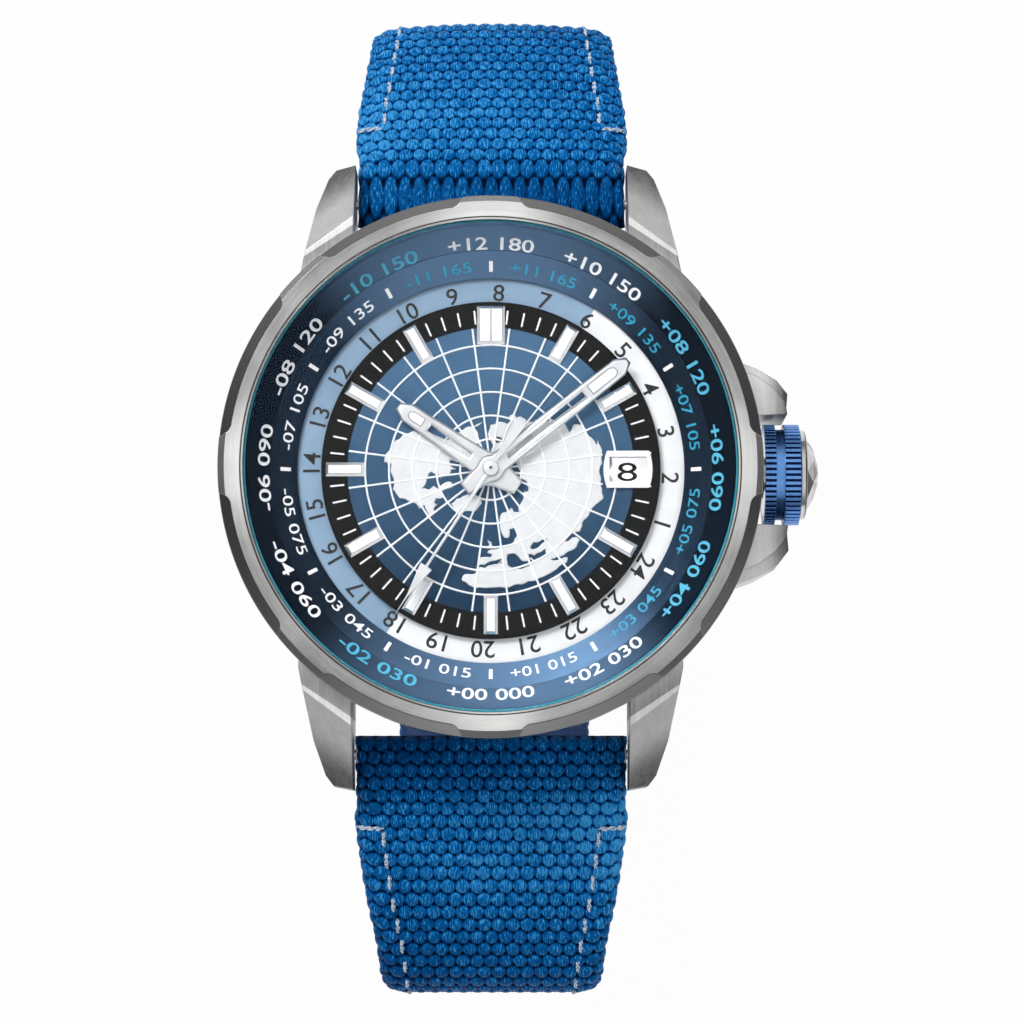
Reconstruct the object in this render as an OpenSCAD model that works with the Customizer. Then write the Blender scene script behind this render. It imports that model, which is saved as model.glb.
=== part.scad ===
/* [Case] */
// Width of the bezel's ring outside the crystal's gasket
bezel_w = 2.04; // [1.8:0.02:2.3]
// How far the bezel stands out over the middle case
band_inset = 0.7; // [0.5:0.05:0.9]
// Distance from lug tip to lug tip
lug_span = 50.5; // [49:0.5:54]
// Gap between two lugs, which the strap fills
lug_gap = 22; // [18:1:24]
// Width of a lug at its tip
lug_tip_w = 2.2; // [1.6:0.1:3]
// Width of a lug where it leaves the case
lug_root_w = 4.2; // [3.6:0.1:5]
// Height of the lug's underside above the case back's face
lug_foot_z = 0.5; // [0.2:0.1:1]
// Height of the middle case's lower edge above the case back's face
band_foot_z = 1; // [0.6:0.1:1.2]
// Height of the bezel, measured where it shows
bezel_h = 3.1; // [2.6:0.1:3.6]
// Width of the bezel's sunk chamfers
notch_w = 0.87; // [0.4:0.05:0.95]
// Angle that one sunk chamfer spans
notch_angle = 33; // [20:1:38]
// Number of raised tabs round the bezel
tab_count = 8; // [6:1:10]
// Thickness of the crystal
crystal_t = 1.9; // [1.4:0.1:2.2]
// Height of the case back ring
back_t = 1.9; // [1.7:0.1:2.4]
// Diameter of the screwed case back
back_d = 34.6; // [33:0.2:35]
// Diameter of the view through the case back
window_d = 24.6; // [20:0.2:25]
// Radius of the spring bars' tips and the lug holes that take them
bar_tip_r = 0.4; // [0.3:0.05:0.5]

/* [Crown] */
// Height of the winding stem above the case back's face
stem_z = 4.9; // [4.9:0.02:5]
// Radius over the crown's grip
crown_r = 4.05; // [3.4:0.05:4.1]
// Length of the crown's blue grip
grip_l = 2.85; // [2.2:0.05:3.2]
// Number of ribs round the grip
rib_count = 56; // [36:2:72]
// Depth of the ribs
rib_depth = 0.22; // [0.1:0.02:0.3]
// Travel of the crown to its setting position
crown_travel = 1.2; // [0.6:0.1:1.3]
// Radius of the crown's tube
tube_r = 1.45; // [1.3:0.05:1.6]
// Radius of the stem
stem_r = 0.55; // [0.45:0.05:0.6]

/* [Dial] */
// Diameter of the dial
dial_d = 27; // [26.8:0.1:27.2]
// Width of the hour ring that shows round the dial
ring_view_w = 1.9; // [1.7:0.05:2.1]
// Width of the city ring's inner slope
tier_w = 2.1; // [1.8:0.05:2.4]
// Width of the city ring's outer slope
flange_w = 1.8; // [1.5:0.05:2.1]
// Thickness of the dial
dial_t = 0.4; // [0.3:0.05:0.45]
// Width of an hour marker
marker_w = 1.2; // [0.8:0.1:1.4]
// Length of an hour marker
marker_l = 3; // [2.4:0.1:3.2]
// Height of the hour markers and the date frame
marker_t = 0.3; // [0.2:0.05:0.35]
// Distance of the date window from the middle of the dial
date_r = 10.9; // [10.6:0.1:11]
// Length of the hour hand from the middle
hour_hand_l = 9; // [8:0.1:9.6]
// Length of the minute hand from the middle
minute_hand_l = 14; // [12.5:0.1:14.6]
// Length of the seconds hand from the middle
seconds_hand_l = 13.8; // [12:0.1:14.6]
// Width of the hour and minute hands
hand_w = 1.7; // [1.2:0.1:2]
// Hour that the hands show
time_h = 10; // [0:1:11]
// Minute that the hands show
time_min = 8.6; // [0:0.1:59.9]
// Second that the hands show
time_s = 35.5; // [0:0.5:59.5]

/* [Movement] */
// Diameter of the movement
movement_d = 27.4; // [27.3:0.1:27.6]
// Thickness of the bridges
bridge_t = 0.5; // [0.4:0.05:0.6]
// Thickness of the main plate
plate_t = 0.7; // [0.6:0.05:0.8]
// Thickness of a train wheel
wheel_t = 0.14; // [0.1:0.01:0.15]
// Thickness of the rotor's heavy rim
rim_t = 0.85; // [0.6:0.05:0.9]
// Radius of the balance wheel
balance_r = 3.8; // [3.4:0.1:3.85]
// Play between meshing teeth
tooth_play = 0.03; // [0.02:0.005:0.04]

/* [Strap] */
// Thickness of the strap
strap_t = 2.6; // [2:0.1:3]
// Width of the strap at the buckle
strap_end_w = 18; // [16:1:20]
// Slope of the strap where it leaves the lugs
strap_slope = 18; // [10:1:26]
// Radius of the strap's bend over the wrist
bend_r = 37.4; // [34:0.1:41]
// Radius of the tighter bend that turns the strap down
fold_r = 4; // [3:0.5:6]
// Straight stretch of the strap beside the wrist
side_l = 21.9; // [18:0.1:24]
// Radius of the strap's curl under the wrist
curl_r = 20; // [19:0.5:22]
// Stretch of the tail that lies flat
tail_flat = 7.3; // [6:0.1:8]
// Radius of the tail's last rise
tail_r = 30; // [26:1:34]
// Angle of the tail's last rise
tail_angle = 45; // [38:1:46]
// Number of holes for the buckle's tongue
hole_count = 7; // [5:1:8]
// Distance of the first hole from the tail's tip
first_hole = 18; // [15:0.5:19]
// Radius of a hole
hole_r = 1; // [0.9:0.05:1.2]
// Distance between two holes
hole_pitch = 6.5; // [5:0.5:7]
// Radius of the spring bars
bar_r = 0.75; // [0.6:0.05:0.8]
// Length of the buckle from its bar to its front
buckle_l = 12.5; // [11:0.5:14]
// Width of a keeper along the strap
keeper_w = 3.6; // [3:0.2:4.5]

/* [Hidden] */
$fn = 96;

// Clearances: a fixed fit, a running fit, and the room between moving faces
fit = 0.02;
run = 0.05;
room = 0.1;
over = 1;

// Heights from the case back's outer face up to the crystal
window_seat_z = 0.45;
rotor_z = back_t + 0.15;
rotor_plate_t = 0.3;
winding_z = rotor_z + rim_t + room;
winding_t = 0.2;
bridge_z = winding_z + winding_t + run;
train_z = bridge_z + bridge_t;
train_h = 1.8;
plate_z = train_z + train_h;
dial_side_z = plate_z + plate_t;
fourth_z = train_z + 0.12;
third_z = fourth_z + 0.3;
centre_z = third_z + 0.34;
barrel_z = centre_z + 0.26;
barrel_h = plate_z - barrel_z - room;
escape_z = centre_z + 0.28;
balance_z = train_z + 0.25;
hairspring_z = train_z + 0.06;
minute_wheel_z = dial_side_z + run;
hour_wheel_z = minute_wheel_z + wheel_t + 0.06;
date_wheel_z = hour_wheel_z + wheel_t + 0.08;
date_ring_z = date_wheel_z - 0.08;
date_ring_t = 0.18;
calendar_z = date_wheel_z + wheel_t + 0.1;
calendar_t = 0.2;
ring_z = calendar_z + calendar_t + room;
ring_gear_t = 0.2;
ring_t = 0.7;
dial_z = ring_z + ring_t + room;
dial_top = dial_z + dial_t;
hour_hand_z = dial_top + marker_t + 0.05;
hand_t = 0.2;
minute_hand_z = hour_hand_z + hand_t + 0.15;
seconds_hand_z = minute_hand_z + hand_t + 0.2;
flange_z = ring_z + ring_t + 0.15;
flange_lip = 0.2;
tier_rise = 1.1;
tier_step = 0.15;
flange_h = 2.6;
crystal_z = flange_z + flange_h + run;
bezel_top = crystal_z + crystal_t - room;
bezel_z = bezel_top - bezel_h;

// Radii of the dial side and the case, from the inside out
ring_view_r = dial_d / 2 + ring_view_w;
tier_r = ring_view_r + tier_w;
crystal_r = tier_r + flange_w;
gasket_t = 0.12;
bezel_in_r = crystal_r + gasket_t + 2 * fit;
bezel_r = bezel_in_r + bezel_w;
band_r = bezel_r - band_inset;
neck_r = bezel_in_r + 0.85;
neck_top = bezel_z + 0.9;
ring_out_r = ring_view_r + 0.5;
ring_space_r = ring_out_r + 0.2;
cavity_r = movement_d / 2 + 1.5;
back_r = back_d / 2;
window_r = window_d / 2 + 0.7;
back_gasket_t = 0.3;
ledge_z = back_t + back_gasket_t + 2 * fit;
movement_r = movement_d / 2;

// The spring bars and the strap's path, in the plane of 12 and 6 o'clock
bar_y = 22.4;
bar_z = 3;
bar_tip_l = 1.2;
strap_w = lug_gap - 0.4;
bend_y = bar_y - bend_r * sin(strap_slope);
bend_z = bar_z - bend_r * cos(strap_slope);
fold_a = 45;
fold_y = bend_y + (bend_r - fold_r) * cos(fold_a);
fold_z = bend_z + (bend_r - fold_r) * sin(fold_a);
side_y = fold_y + fold_r;
curl_y = side_y - curl_r;
curl_z = fold_z - side_l;
floor_z = curl_z - curl_r;
end_loop_r = strap_t / 2;
end_bar_r = end_loop_r - 0.7;
end_bar_y = curl_y - 1.5;
lug_loop_r = bar_r + 0.85;
taper_y = 26;
tail_y = -curl_y + tail_flat;

// The train: teeth, modules and centres, seen from the dial side
pressure = 25;
barrel_n = 72;
centre_pinion_n = 10;
barrel_m = 0.16;
centre_n = 64;
third_pinion_n = 8;
third_n = 60;
fourth_pinion_n = 8;
third_a = 3.6;
centre_m = 2 * third_a / (centre_n + third_pinion_n);
third_m = 2 * third_a / (third_n + fourth_pinion_n);
fourth_n = 84;
escape_pinion_n = 7;
fourth_m = 0.078;
escape_a = fourth_m * (fourth_n + escape_pinion_n) / 2;
barrel_a = barrel_m * (barrel_n + centre_pinion_n) / 2;
barrel_dir = -65;
third_dir = 110;
escape_dir = 185;
escape_n = 20;
escape_r = 2.05;
lever_dir = 200;
half_span = 27;
pallet_a = escape_r / cos(half_span);
lever_l = 3;
barrel_at = polar(barrel_a, barrel_dir);
third_at = polar(third_a, third_dir);
escape_at = polar(escape_a, escape_dir);
pallet_at = escape_at + polar(pallet_a, lever_dir);
balance_at = pallet_at + polar(lever_l, lever_dir);
collet_r = 0.3;
coil_pitch = 0.22;
coil_turns = 9;
pillar_at = [[7.6, 7.6], [-6.5, 8.6], [10.6, -6.6], [-1.6, -11.3]];
cock_foot_at = [-6.3, -9.6];
cock_dir = atan2(cock_foot_at[1] - balance_at[1], cock_foot_at[0] - balance_at[0]);
screw_at = concat(pillar_at, [cock_foot_at]);

// The winding work
winding_m = 0.2;
ratchet_n = 46;
crown_wheel_n = 24;
crown_wheel_a = winding_m * (ratchet_n + crown_wheel_n) / 2;
crown_wheel_dir = asin(-barrel_at[1] / crown_wheel_a);
crown_wheel_at = barrel_at + polar(crown_wheel_a, crown_wheel_dir);
pinion_n = 14;
pinion_m = (stem_z - bridge_z) / (pinion_n / 2 + 0.8);
pinion_tip = pinion_m * (pinion_n / 2 + 0.8);
pinion_x = 8;
pinion_l = 1.3;
clutch_m = 0.13;
clutch_tip = clutch_m * (pinion_n / 2 + 0.8);
clutch_x = 6.5;
clutch_l = 1.4;
core_r = 0.8;

// The dial side: motion work, calendar and the drive of the hour ring
cannon_n = 12;
minute_wheel_n = 36;
motion_a = 4;
motion_m = 2 * motion_a / (cannon_n + minute_wheel_n);
minute_pinion_n = 10;
hour_n = 40;
hour_m = 2 * motion_a / (minute_pinion_n + hour_n);
motion_dir = 150;
hour_pinion_n = 14;
date_wheel_n = 28;
date_m = 0.25;
date_wheel_a = date_m * (hour_pinion_n + date_wheel_n) / 2;
date_wheel_dir = -40;
date_tooth_n = 31;
date_in_r = 9.35;
date_out_r = 13.1;
ring_m = 0.3;
driver_n = 43;
idler_n = 12;
ring_n = 86;
inner_a = ring_m * (driver_n + idler_n) / 2;
outer_a = ring_m * (ring_n - idler_n) / 2;
idler_gap = ring_m * idler_n;
idler_dir = 232;
idler_turn = acos((inner_a * inner_a + outer_a * outer_a - idler_gap * idler_gap) / (2 * inner_a * outer_a));
inner_at = polar(inner_a, idler_dir);
outer_at = polar(outer_a, idler_dir + idler_turn);
motion_at = polar(motion_a, motion_dir);
date_wheel_at = polar(date_wheel_a, date_wheel_dir);

// Arbors and pipes at the middle, from the inside out
arbor_r = 0.2;
centre_tube_r = 0.42;
cannon_r = 0.62;
hour_pipe_r = 0.88;
post_r = 0.3;
pivot_r = 0.1;
jewel_r = 0.5;
screw_r = 0.4;
screw_head_r = 0.75;
jewel_t = 0.3;

// Where the hands point, as angles from 3 o'clock
minute_dir = 90 - 6 * time_min;
hour_dir = 90 - 30 * (time_h + time_min / 60);
seconds_dir = 90 - 6 * time_s;

// The date window
date_hole = [2.95, 2];
date_frame_size = [3.9, 2.95];
land_t = 0.06;
line_t = 0.09;
line_w = 0.11;
circle_count = 6;
circle_pitch = 1.81;
first_circle_r = 2.16;
spoke_count = 24;
track_r = 11.4;
marker_inset = 0.35;

function polar(r, a) = [r * cos(a), r * sin(a)];

// Outline of a gear: each tooth runs up one involute flank and down the other
function inv(a) = tan(a) * 180 / PI - a;
function flank_angle(n, m, r, play) = let(base = m * n / 2 * cos(pressure))
  90 / n - play / (m * n) * 180 / PI + inv(pressure) - inv(r > base ? acos(base / r) : 0);
function flank_radii(low, high, base) = let(start = max(low, base))
  concat(low < base ? [low] : [], [for (i = [0 : 3]) start + (high - start) * i / 3]);
function gear_outline(n, m, low, high, play) = let(radii = flank_radii(low, high, m * n / 2 * cos(pressure)),
  last = len(radii) - 1)
  [for (k = [0 : n - 1], i = [0 : 2 * last + 1])
    let(up = i <= last, r = radii[up ? i : 2 * last + 1 - i], a = max(0.2, flank_angle(n, m, r, play)))
    polar(r, 360 * k / n + (up ? -a : a))];

// A gear's phase that sets it in mesh with another, which lies in direction dir from it
function mesh_phase(phase, n, other_n, dir) = dir + 180 + 180 / other_n + (dir - phase) * n / other_n;
function ring_phase(phase, n, other_n, dir) = dir + (phase - dir) * n / other_n;

// Phases of all the wheels, worked out from the two that are set by hand
centre_phase = minute_dir;
barrel_phase = mesh_phase(centre_phase, centre_pinion_n, barrel_n, barrel_dir);
third_phase = mesh_phase(centre_phase, centre_n, third_pinion_n, third_dir);
fourth_phase = mesh_phase(third_phase, third_n, fourth_pinion_n, third_dir + 180);
escape_pinion_phase = mesh_phase(fourth_phase, fourth_n, escape_pinion_n, escape_dir);
escape_phase = lever_dir + half_span + 180 / escape_n;
ratchet_phase = 0;
crown_wheel_phase = mesh_phase(ratchet_phase, ratchet_n, crown_wheel_n, crown_wheel_dir);
cannon_phase = minute_dir;
minute_wheel_phase = mesh_phase(cannon_phase, cannon_n, minute_wheel_n, motion_dir);
hour_phase = mesh_phase(minute_wheel_phase, minute_pinion_n, hour_n, motion_dir + 180);
date_wheel_phase = mesh_phase(hour_phase, hour_pinion_n, date_wheel_n, date_wheel_dir);
inner_phase = mesh_phase(hour_phase, driver_n, idler_n, idler_dir);
idler_line = atan2(outer_at[1] - inner_at[1], outer_at[0] - inner_at[0]);
outer_phase = mesh_phase(inner_phase, idler_n, idler_n, idler_line);
hour_ring_phase = ring_phase(outer_phase, idler_n, ring_n, idler_dir + idler_turn);

// Coasts on the dial, in millimetres from its middle, drawn by hand
north_america = [[-2.2, 3.2], [-1.65, 3.45], [-1, 3.6], [-1.3, 3.3], [-1, 2.9], [-1.05, 2.35],
  [-0.85, 1.95], [-1.25, 2.05], [-1.4, 1.8], [-0.85, 1.3], [-1, 0.6], [-1.65, 0.45], [-2.2, 0.35],
  [-2.8, 0.6], [-3.3, 0.75], [-3.2, 0.35], [-2.75, 0.05], [-3.15, 0], [-3.3, -0.6], [-3.8, -0.45],
  [-4, -0.75], [-4.15, -0.4], [-4.5, -0.35], [-4.7, -0.15], [-4.95, -0.35], [-5.1, -0.9], [-5.55, -1.55],
  [-4.9, -1.6], [-4.5, -1.3], [-4.15, -1.55], [-3.55, -1], [-3.1, -1.05], [-3, -1.4], [-3.55, -1.55],
  [-3.95, -1.75], [-3.8, -2.25], [-4.35, -2.3], [-4.5, -2.65], [-4.25, -2.75], [-4.5, -3.05],
  [-4.45, -3.45], [-4.75, -3.65], [-4.95, -3.6], [-5.25, -2.85], [-5.65, -3.2], [-6, -2.7],
  [-6.65, -2.45], [-7.25, -2.3], [-7.6, -1.8], [-7.8, -1.55], [-7.85, -0.45], [-7.9, 0.45], [-8.3, 0.55],
  [-8.5, 0.6], [-8.45, 1], [-8.15, 1.5], [-7.85, 1.8], [-7.55, 2.35], [-6.95, 2.9], [-6.1, 3.15],
  [-4.9, 2.9], [-3.55, 2.35], [-2.75, 2.65]];
greenland = [[-3, -3.05], [-2.6, -3.45], [-2.2, -3.4], [-1.4, -3.4], [-1, -3.05], [-0.7, -2.65],
  [-1.1, -2.1], [-1.55, -1.95], [-2.2, -2.1], [-2.75, -2.35], [-3.15, -2.75]];
eurasia_and_africa = [[-0.05, 3.6], [0.5, 3.8], [1.3, 3.65], [1.6, 3.85], [1.4, 4.2], [1.85, 4.45],
  [2.05, 4], [2.65, 3.6], [3.35, 3.8], [3.9, 4.1], [4.55, 3.85], [4.95, 4], [5.35, 4.1], [5.95, 3.6],
  [6.25, 2.95], [6.6, 3.65], [7.1, 3.6], [7.65, 3.05], [7.85, 2.65], [8.2, 2.35], [8.4, 1.95],
  [8.55, 2.35], [8.75, 1.8], [8.8, 1], [8.85, 0.45], [8.65, -0.35], [8.75, -0.9], [8.85, -1.55],
  [8.95, -2.25], [8.65, -2.55], [8.3, -2.85], [7.85, -3.45], [7.4, -4.05], [7.25, -4.6], [7.1, -4.95],
  [6.75, -5], [6.3, -5.25], [5.9, -5.6], [5.95, -5.75], [6.45, -5.45], [6.85, -5.4], [7.1, -5.6],
  [6.85, -6.1], [6.25, -6.5], [5.85, -6.8], [5.25, -6.95], [4.75, -7.15], [4.95, -7.25], [5.65, -7.1],
  [6.1, -7], [6, -7.45], [5, -8.1], [3.85, -8.65], [2.95, -8.9], [1.85, -9.2], [0.5, -9.4],
  [-0.85, -9.4], [-1.8, -9.2], [-2.3, -8.85], [-2.2, -8.45], [-1.55, -8.35], [-1, -8.15], [-1, -7.85],
  [-0.45, -7.85], [0.25, -7.55], [0.9, -7.45], [1.15, -7], [0.9, -7.1], [0.25, -7.3], [-0.5, -7.65],
  [-0.95, -7.65], [-1, -7.2], [-0.7, -7], [-0.05, -7], [0.1, -6.75], [-0.3, -6.6], [0.5, -6.35],
  [1.2, -6], [1.85, -5.75], [2.05, -5.35], [1.9, -4.65], [1.45, -4.8], [1.4, -5.45], [1.1, -5.45],
  [0.8, -4.95], [0.7, -4.2], [0.9, -3.45], [1.35, -3.3], [1.6, -3.05], [1.85, -3.4], [2.25, -3.4],
  [2.25, -2.9], [2.6, -2.25], [2.65, -1.75], [3, -1.7], [2.95, -1.15], [2.4, -0.75], [2.3, -0.05],
  [2.05, 0.45], [1.85, 0.6], [1.2, 0.6], [0.5, 0.6], [0.25, 1], [-0.05, 1.3], [0.15, 1.8], [-0.05, 2.35],
  [-0.25, 2.9], [-0.15, 3.15]];
bering_sea = [[0.5, 2.65], [0.85, 2.55], [0.95, 2.15], [0.5, 2.1], [0.35, 2.35]];
middle_sea = [[1.3, -6.8], [1.85, -6.7], [2.4, -7.25], [3, -7.3], [3.2, -7.1], [3.35, -7.45],
  [2.8, -7.75], [1.85, -7.9], [1.35, -7.65], [1.25, -7.15]];
eastern_sea = [[3, -6.75], [3.45, -6.9], [4, -6.6], [4.35, -6.35], [4.4, -6.8], [4, -7.1], [3.35, -7.25],
  [3.05, -7.05]];
inland_sea = [[3.15, -6.15], [3.4, -5.8], [3.9, -5.75], [4.35, -5.5], [4.5, -5.6], [4, -5.95],
  [3.45, -6.35], [3.2, -6.35]];
large_island = [[-0.25, -5.6], [0.05, -5.8], [0.15, -6.15], [0.55, -6.15], [0.35, -6.35], [-0.3, -6.35],
  [-0.1, -6]];
small_island = [[-0.6, -6.15], [-0.42, -6.1], [-0.4, -6.32], [-0.6, -6.4]];

module ring(out_r, in_r, h) {
  difference() {
    cylinder(h = h, r = out_r);
    translate([0, 0, -over]) cylinder(h = h + 2 * over, r = in_r);
  }
}

module along_x() {
  rotate([0, 90, 0]) children();
}

module lathe_x() {
  translate([0, 0, stem_z]) along_x() rotate_extrude() children();
}

module all_corners() {
  for (side = [0, 1], end = [0, 1]) mirror([side, 0, 0]) mirror([0, end, 0]) children();
}

module gear(n, m, phase, h, play = tooth_play) {
  rotate([0, 0, phase]) linear_extrude(h)
    polygon(gear_outline(n, m, m * (n / 2 - 1.05), m * (n / 2 + 0.8), play));
}

// The windows between a wheel's arms
module arm_windows(in_r, out_r, count, arm_w, h) {
  steps = 4;
  in_a = asin(arm_w / 2 / in_r);
  out_a = asin(arm_w / 2 / out_r);
  pitch = 360 / count;
  for (k = [0 : count - 1]) rotate([0, 0, pitch * k]) translate([0, 0, -over]) linear_extrude(h + 2 * over)
    polygon(concat(
      [for (i = [0 : steps]) polar(in_r, in_a + (pitch - 2 * in_a) * i / steps)],
      [for (i = [steps : -1 : 0]) polar(out_r, out_a + (pitch - 2 * out_a) * i / steps)]));
}

module train_wheel(n, m, phase, h) {
  in_r = max(0.7, m * n / 2 * 0.3);
  out_r = m * n / 2 * 0.8;
  difference() {
    gear(n, m, phase, h);
    rotate([0, 0, phase]) arm_windows(in_r, out_r, 5, m * n / 2 * 0.14, h);
  }
}

// An arbor that runs in two jewels
module arbor(r) {
  translate([0, 0, train_z - run - jewel_t / 2])
    cylinder(h = plate_z - train_z + 2 * run + jewel_t, r = pivot_r);
  translate([0, 0, train_z + run]) cylinder(h = plate_z - train_z - 2 * run, r = r);
}

// A flat bar with round ends
module capsule(from, to, r, h) {
  along = to - from;
  translate([from[0], from[1], 0]) {
    cylinder(h = h, r = r);
    rotate([0, 0, atan2(along[1], along[0])]) translate([0, -r, 0]) cube([norm(along), 2 * r, h]);
  }
  translate([to[0], to[1], 0]) cylinder(h = h, r = r);
}

// The case

lug_root_y = 13;
lug_crease_in = 20.4;
lug_crease_out = 17.6;
lug_top_z = bezel_z - 0.3;
lug_tip_y = lug_span / 2;
lug_edge = 0.6;
facet_slope = 45;
lug_tip_foot = 2.2;
lug_tip_slope = 35;

module lug_plan() {
  in_x = lug_gap / 2;
  polygon([[in_x, lug_root_y], [in_x, lug_tip_y], [in_x + lug_tip_w - lug_edge, lug_tip_y - 0.3],
    [in_x + lug_tip_w, lug_tip_y - lug_edge - 0.5], [in_x + lug_tip_w + 0.9, lug_tip_y - 3.8],
    [in_x + lug_root_w, lug_root_y + 2.8], [in_x + lug_root_w, lug_root_y]]);
}

// The slanted plane that makes the second brushed facet of a lug
module lug_facet_cut() {
  in_x = lug_gap / 2;
  run_x = lug_root_w - 0.4;
  turn = atan2(lug_crease_in - lug_crease_out, run_x);
  block = 20;
  translate([in_x, lug_crease_in, lug_top_z]) rotate([0, 0, -turn]) rotate([-facet_slope, 0, 0])
    translate([-block / 2, -block / 2, 0]) cube(block);
}

module lug() {
  difference() {
    translate([0, 0, lug_foot_z]) linear_extrude(lug_top_z - lug_foot_z) lug_plan();
    lug_facet_cut();
    translate([0, lug_tip_y + lug_tip_foot, lug_foot_z]) rotate([-lug_tip_slope, 0, 0])
      translate([0, 0, -over]) cube([bezel_r, lug_tip_y, bezel_top]);
  }
}

crown_x = bezel_r + 0.36;
guard_in = crown_r + 0.15;
guard_x = crown_x + 1.75;

module guard_plan(grow) {
  polygon([[band_r - 3, guard_in], [guard_x, guard_in + 0.25],
    [guard_x - 0.15 + grow / 3, guard_in + 1.2 + grow], [guard_x - 1 + grow / 3, guard_in + 2.3 + grow],
    [guard_x - 2.4, guard_in + 3.3 + grow], [band_r - 3, guard_in + 4.6 + grow]]);
}

module crown_guards() {
  for (end = [0, 1]) mirror([0, end, 0]) {
    translate([0, 0, band_foot_z + 0.7]) linear_extrude(bezel_z - 0.7 - band_foot_z - 0.7) guard_plan(0);
    translate([0, 0, band_foot_z + 0.7]) linear_extrude(bezel_z - 2.6 - band_foot_z - 0.7) guard_plan(0.9);
  }
}

band_profile = [[back_r + fit, band_foot_z], [band_r - 1.2, band_foot_z], [band_r, band_foot_z + 1.2],
  [band_r, bezel_z], [neck_r, bezel_z], [neck_r, neck_top], [bezel_in_r, neck_top], [bezel_in_r, flange_z],
  [ring_space_r, flange_z], [ring_space_r, ring_z - room], [cavity_r, ring_z - room],
  [cavity_r, ledge_z], [back_r + fit, ledge_z]];

// The middle case is milled from one block: band, lugs and crown guards
module mid_case() {
  color("silver") difference() {
    union() {
      rotate_extrude() polygon(band_profile);
      difference() {
        union() {
          all_corners() lug();
          crown_guards();
        }
        translate([0, 0, -over]) cylinder(h = bezel_top, r = neck_r - 0.2);
      }
    }
    // the recess that the strap's end turns in
    for (end = [0, 1]) mirror([0, end, 0]) translate([-lug_gap / 2, bar_y - lug_loop_r - 0.3, -over])
      cube([lug_gap, 6, bezel_z - 1 + over]);
    // holes for the spring bars' tips
    for (end = [0, 1]) mirror([0, end, 0]) translate([-lug_gap / 2 - bar_tip_l - room, bar_y, bar_z])
      along_x() cylinder(h = lug_gap + 2 * (bar_tip_l + room), r = bar_tip_r + fit);
    // the tube's hole and the pocket that the crown sits in
    translate([0, 0, stem_z]) along_x() cylinder(h = bezel_r + 2, r = tube_r + fit);
    translate([bezel_r + 0.2, 0, stem_z]) along_x() cylinder(h = 4, r = crown_r + 0.15);
  }
}

bezel_profile = [[bezel_in_r, neck_top + fit], [bezel_in_r, bezel_top], [bezel_in_r + 0.3, bezel_top],
  [bezel_r - 0.15, bezel_top], [bezel_r, bezel_top - 0.15], [bezel_r, bezel_z + 0.35],
  [bezel_r - 0.35, bezel_z + fit], [neck_r + fit, bezel_z + fit], [neck_r + fit, neck_top + fit]];

// The bezel is turned, then milled with a sunk chamfer between every two tabs
module bezel() {
  color("silver") difference() {
    rotate_extrude() polygon(bezel_profile);
    for (k = [0 : tab_count - 1]) rotate([0, 0, 360 / tab_count * (k + 0.5) - notch_angle / 2])
      rotate_extrude(angle = notch_angle) polygon([[bezel_r - notch_w, bezel_top + over],
        [bezel_r - notch_w, bezel_top - 0.25], [bezel_r - 0.2, bezel_top - 0.9],
        [bezel_r - 0.2, bezel_top - 1.5], [bezel_r + over, bezel_top - 2],
        [bezel_r + over, bezel_top + over]]);
  }
}

module crystal() {
  edge = 0.15;
  color("lightcyan", 0.4) translate([0, 0, crystal_z]) rotate_extrude() polygon([[0, 0], [crystal_r, 0],
    [crystal_r, crystal_t - edge], [crystal_r - edge, crystal_t], [0, crystal_t]]);
}

module crystal_gasket() {
  color("teal") translate([0, 0, neck_top + 2 * fit])
    ring(crystal_r + fit + gasket_t, crystal_r + fit, bezel_top - 0.3 - neck_top - 2 * fit);
}

module case_back() {
  notch = 1.6;
  color("silver") difference() {
    rotate_extrude() polygon([[window_d / 2, 0], [back_r - 0.9, 0], [back_r, 0.7], [back_r, back_t],
      [window_r + fit, back_t], [window_r + fit, window_seat_z], [window_d / 2, window_seat_z]]);
    for (k = [0 : 5]) rotate([0, 0, 60 * k + 30]) translate([back_r - 1.5, -notch / 2, -over])
      cube([3, notch, 0.55 + over]);
  }
}

module back_window() {
  color("lightcyan", 0.4) translate([0, 0, window_seat_z + fit]) cylinder(h = 1.05, r = window_r);
}

module back_gasket() {
  color("black") translate([0, 0, back_t + fit]) ring(back_r - 0.2, back_r - 1.1, back_gasket_t);
}

module case_tube() {
  start = cavity_r + 0.2;
  color("silver") translate([start, 0, stem_z]) along_x()
    ring(tube_r, stem_r + 0.3, crown_x + 0.9 - start);
}

// A spring bar across each pair of lugs, with its two tips in the lug holes
module lug_bars() {
  color("silver") for (end = [0, 1]) mirror([0, end, 0]) translate([0, bar_y, bar_z]) along_x() {
    translate([0, 0, -lug_gap / 2 + 0.15]) cylinder(h = lug_gap - 0.3, r = bar_r);
    translate([0, 0, -lug_gap / 2 - bar_tip_l]) cylinder(h = lug_gap + 2 * bar_tip_l, r = bar_tip_r);
  }
}

// The crown

crown_l = 4.4;
crown_core_r = crown_r - 0.75;
crown_bore_r = tube_r + 0.3;

// Steel crown: core, flange and stepped dome in one piece, bored for the tube
module crown() {
  flange_x = grip_l + 0.5;
  color("silver") difference() {
    translate([crown_x, 0, 0]) lathe_x() polygon([[0, 0], [crown_core_r, 0], [crown_core_r, -grip_l],
      [crown_r - 0.45, -grip_l], [crown_r - 0.45, -flange_x], [crown_r - 1, -flange_x - 0.35],
      [crown_r - 1.35, -crown_l + 0.1], [crown_r - 1.6, -crown_l], [0, -crown_l]] * [[1, 0], [0, -1]]);
    translate([crown_x - over, 0, stem_z]) along_x() cylinder(h = 1.2 + over + 0.9, r = crown_bore_r);
    translate([crown_x, 0, stem_z]) along_x() cylinder(h = 3.4, r = stem_r + fit);
  }
}

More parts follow.
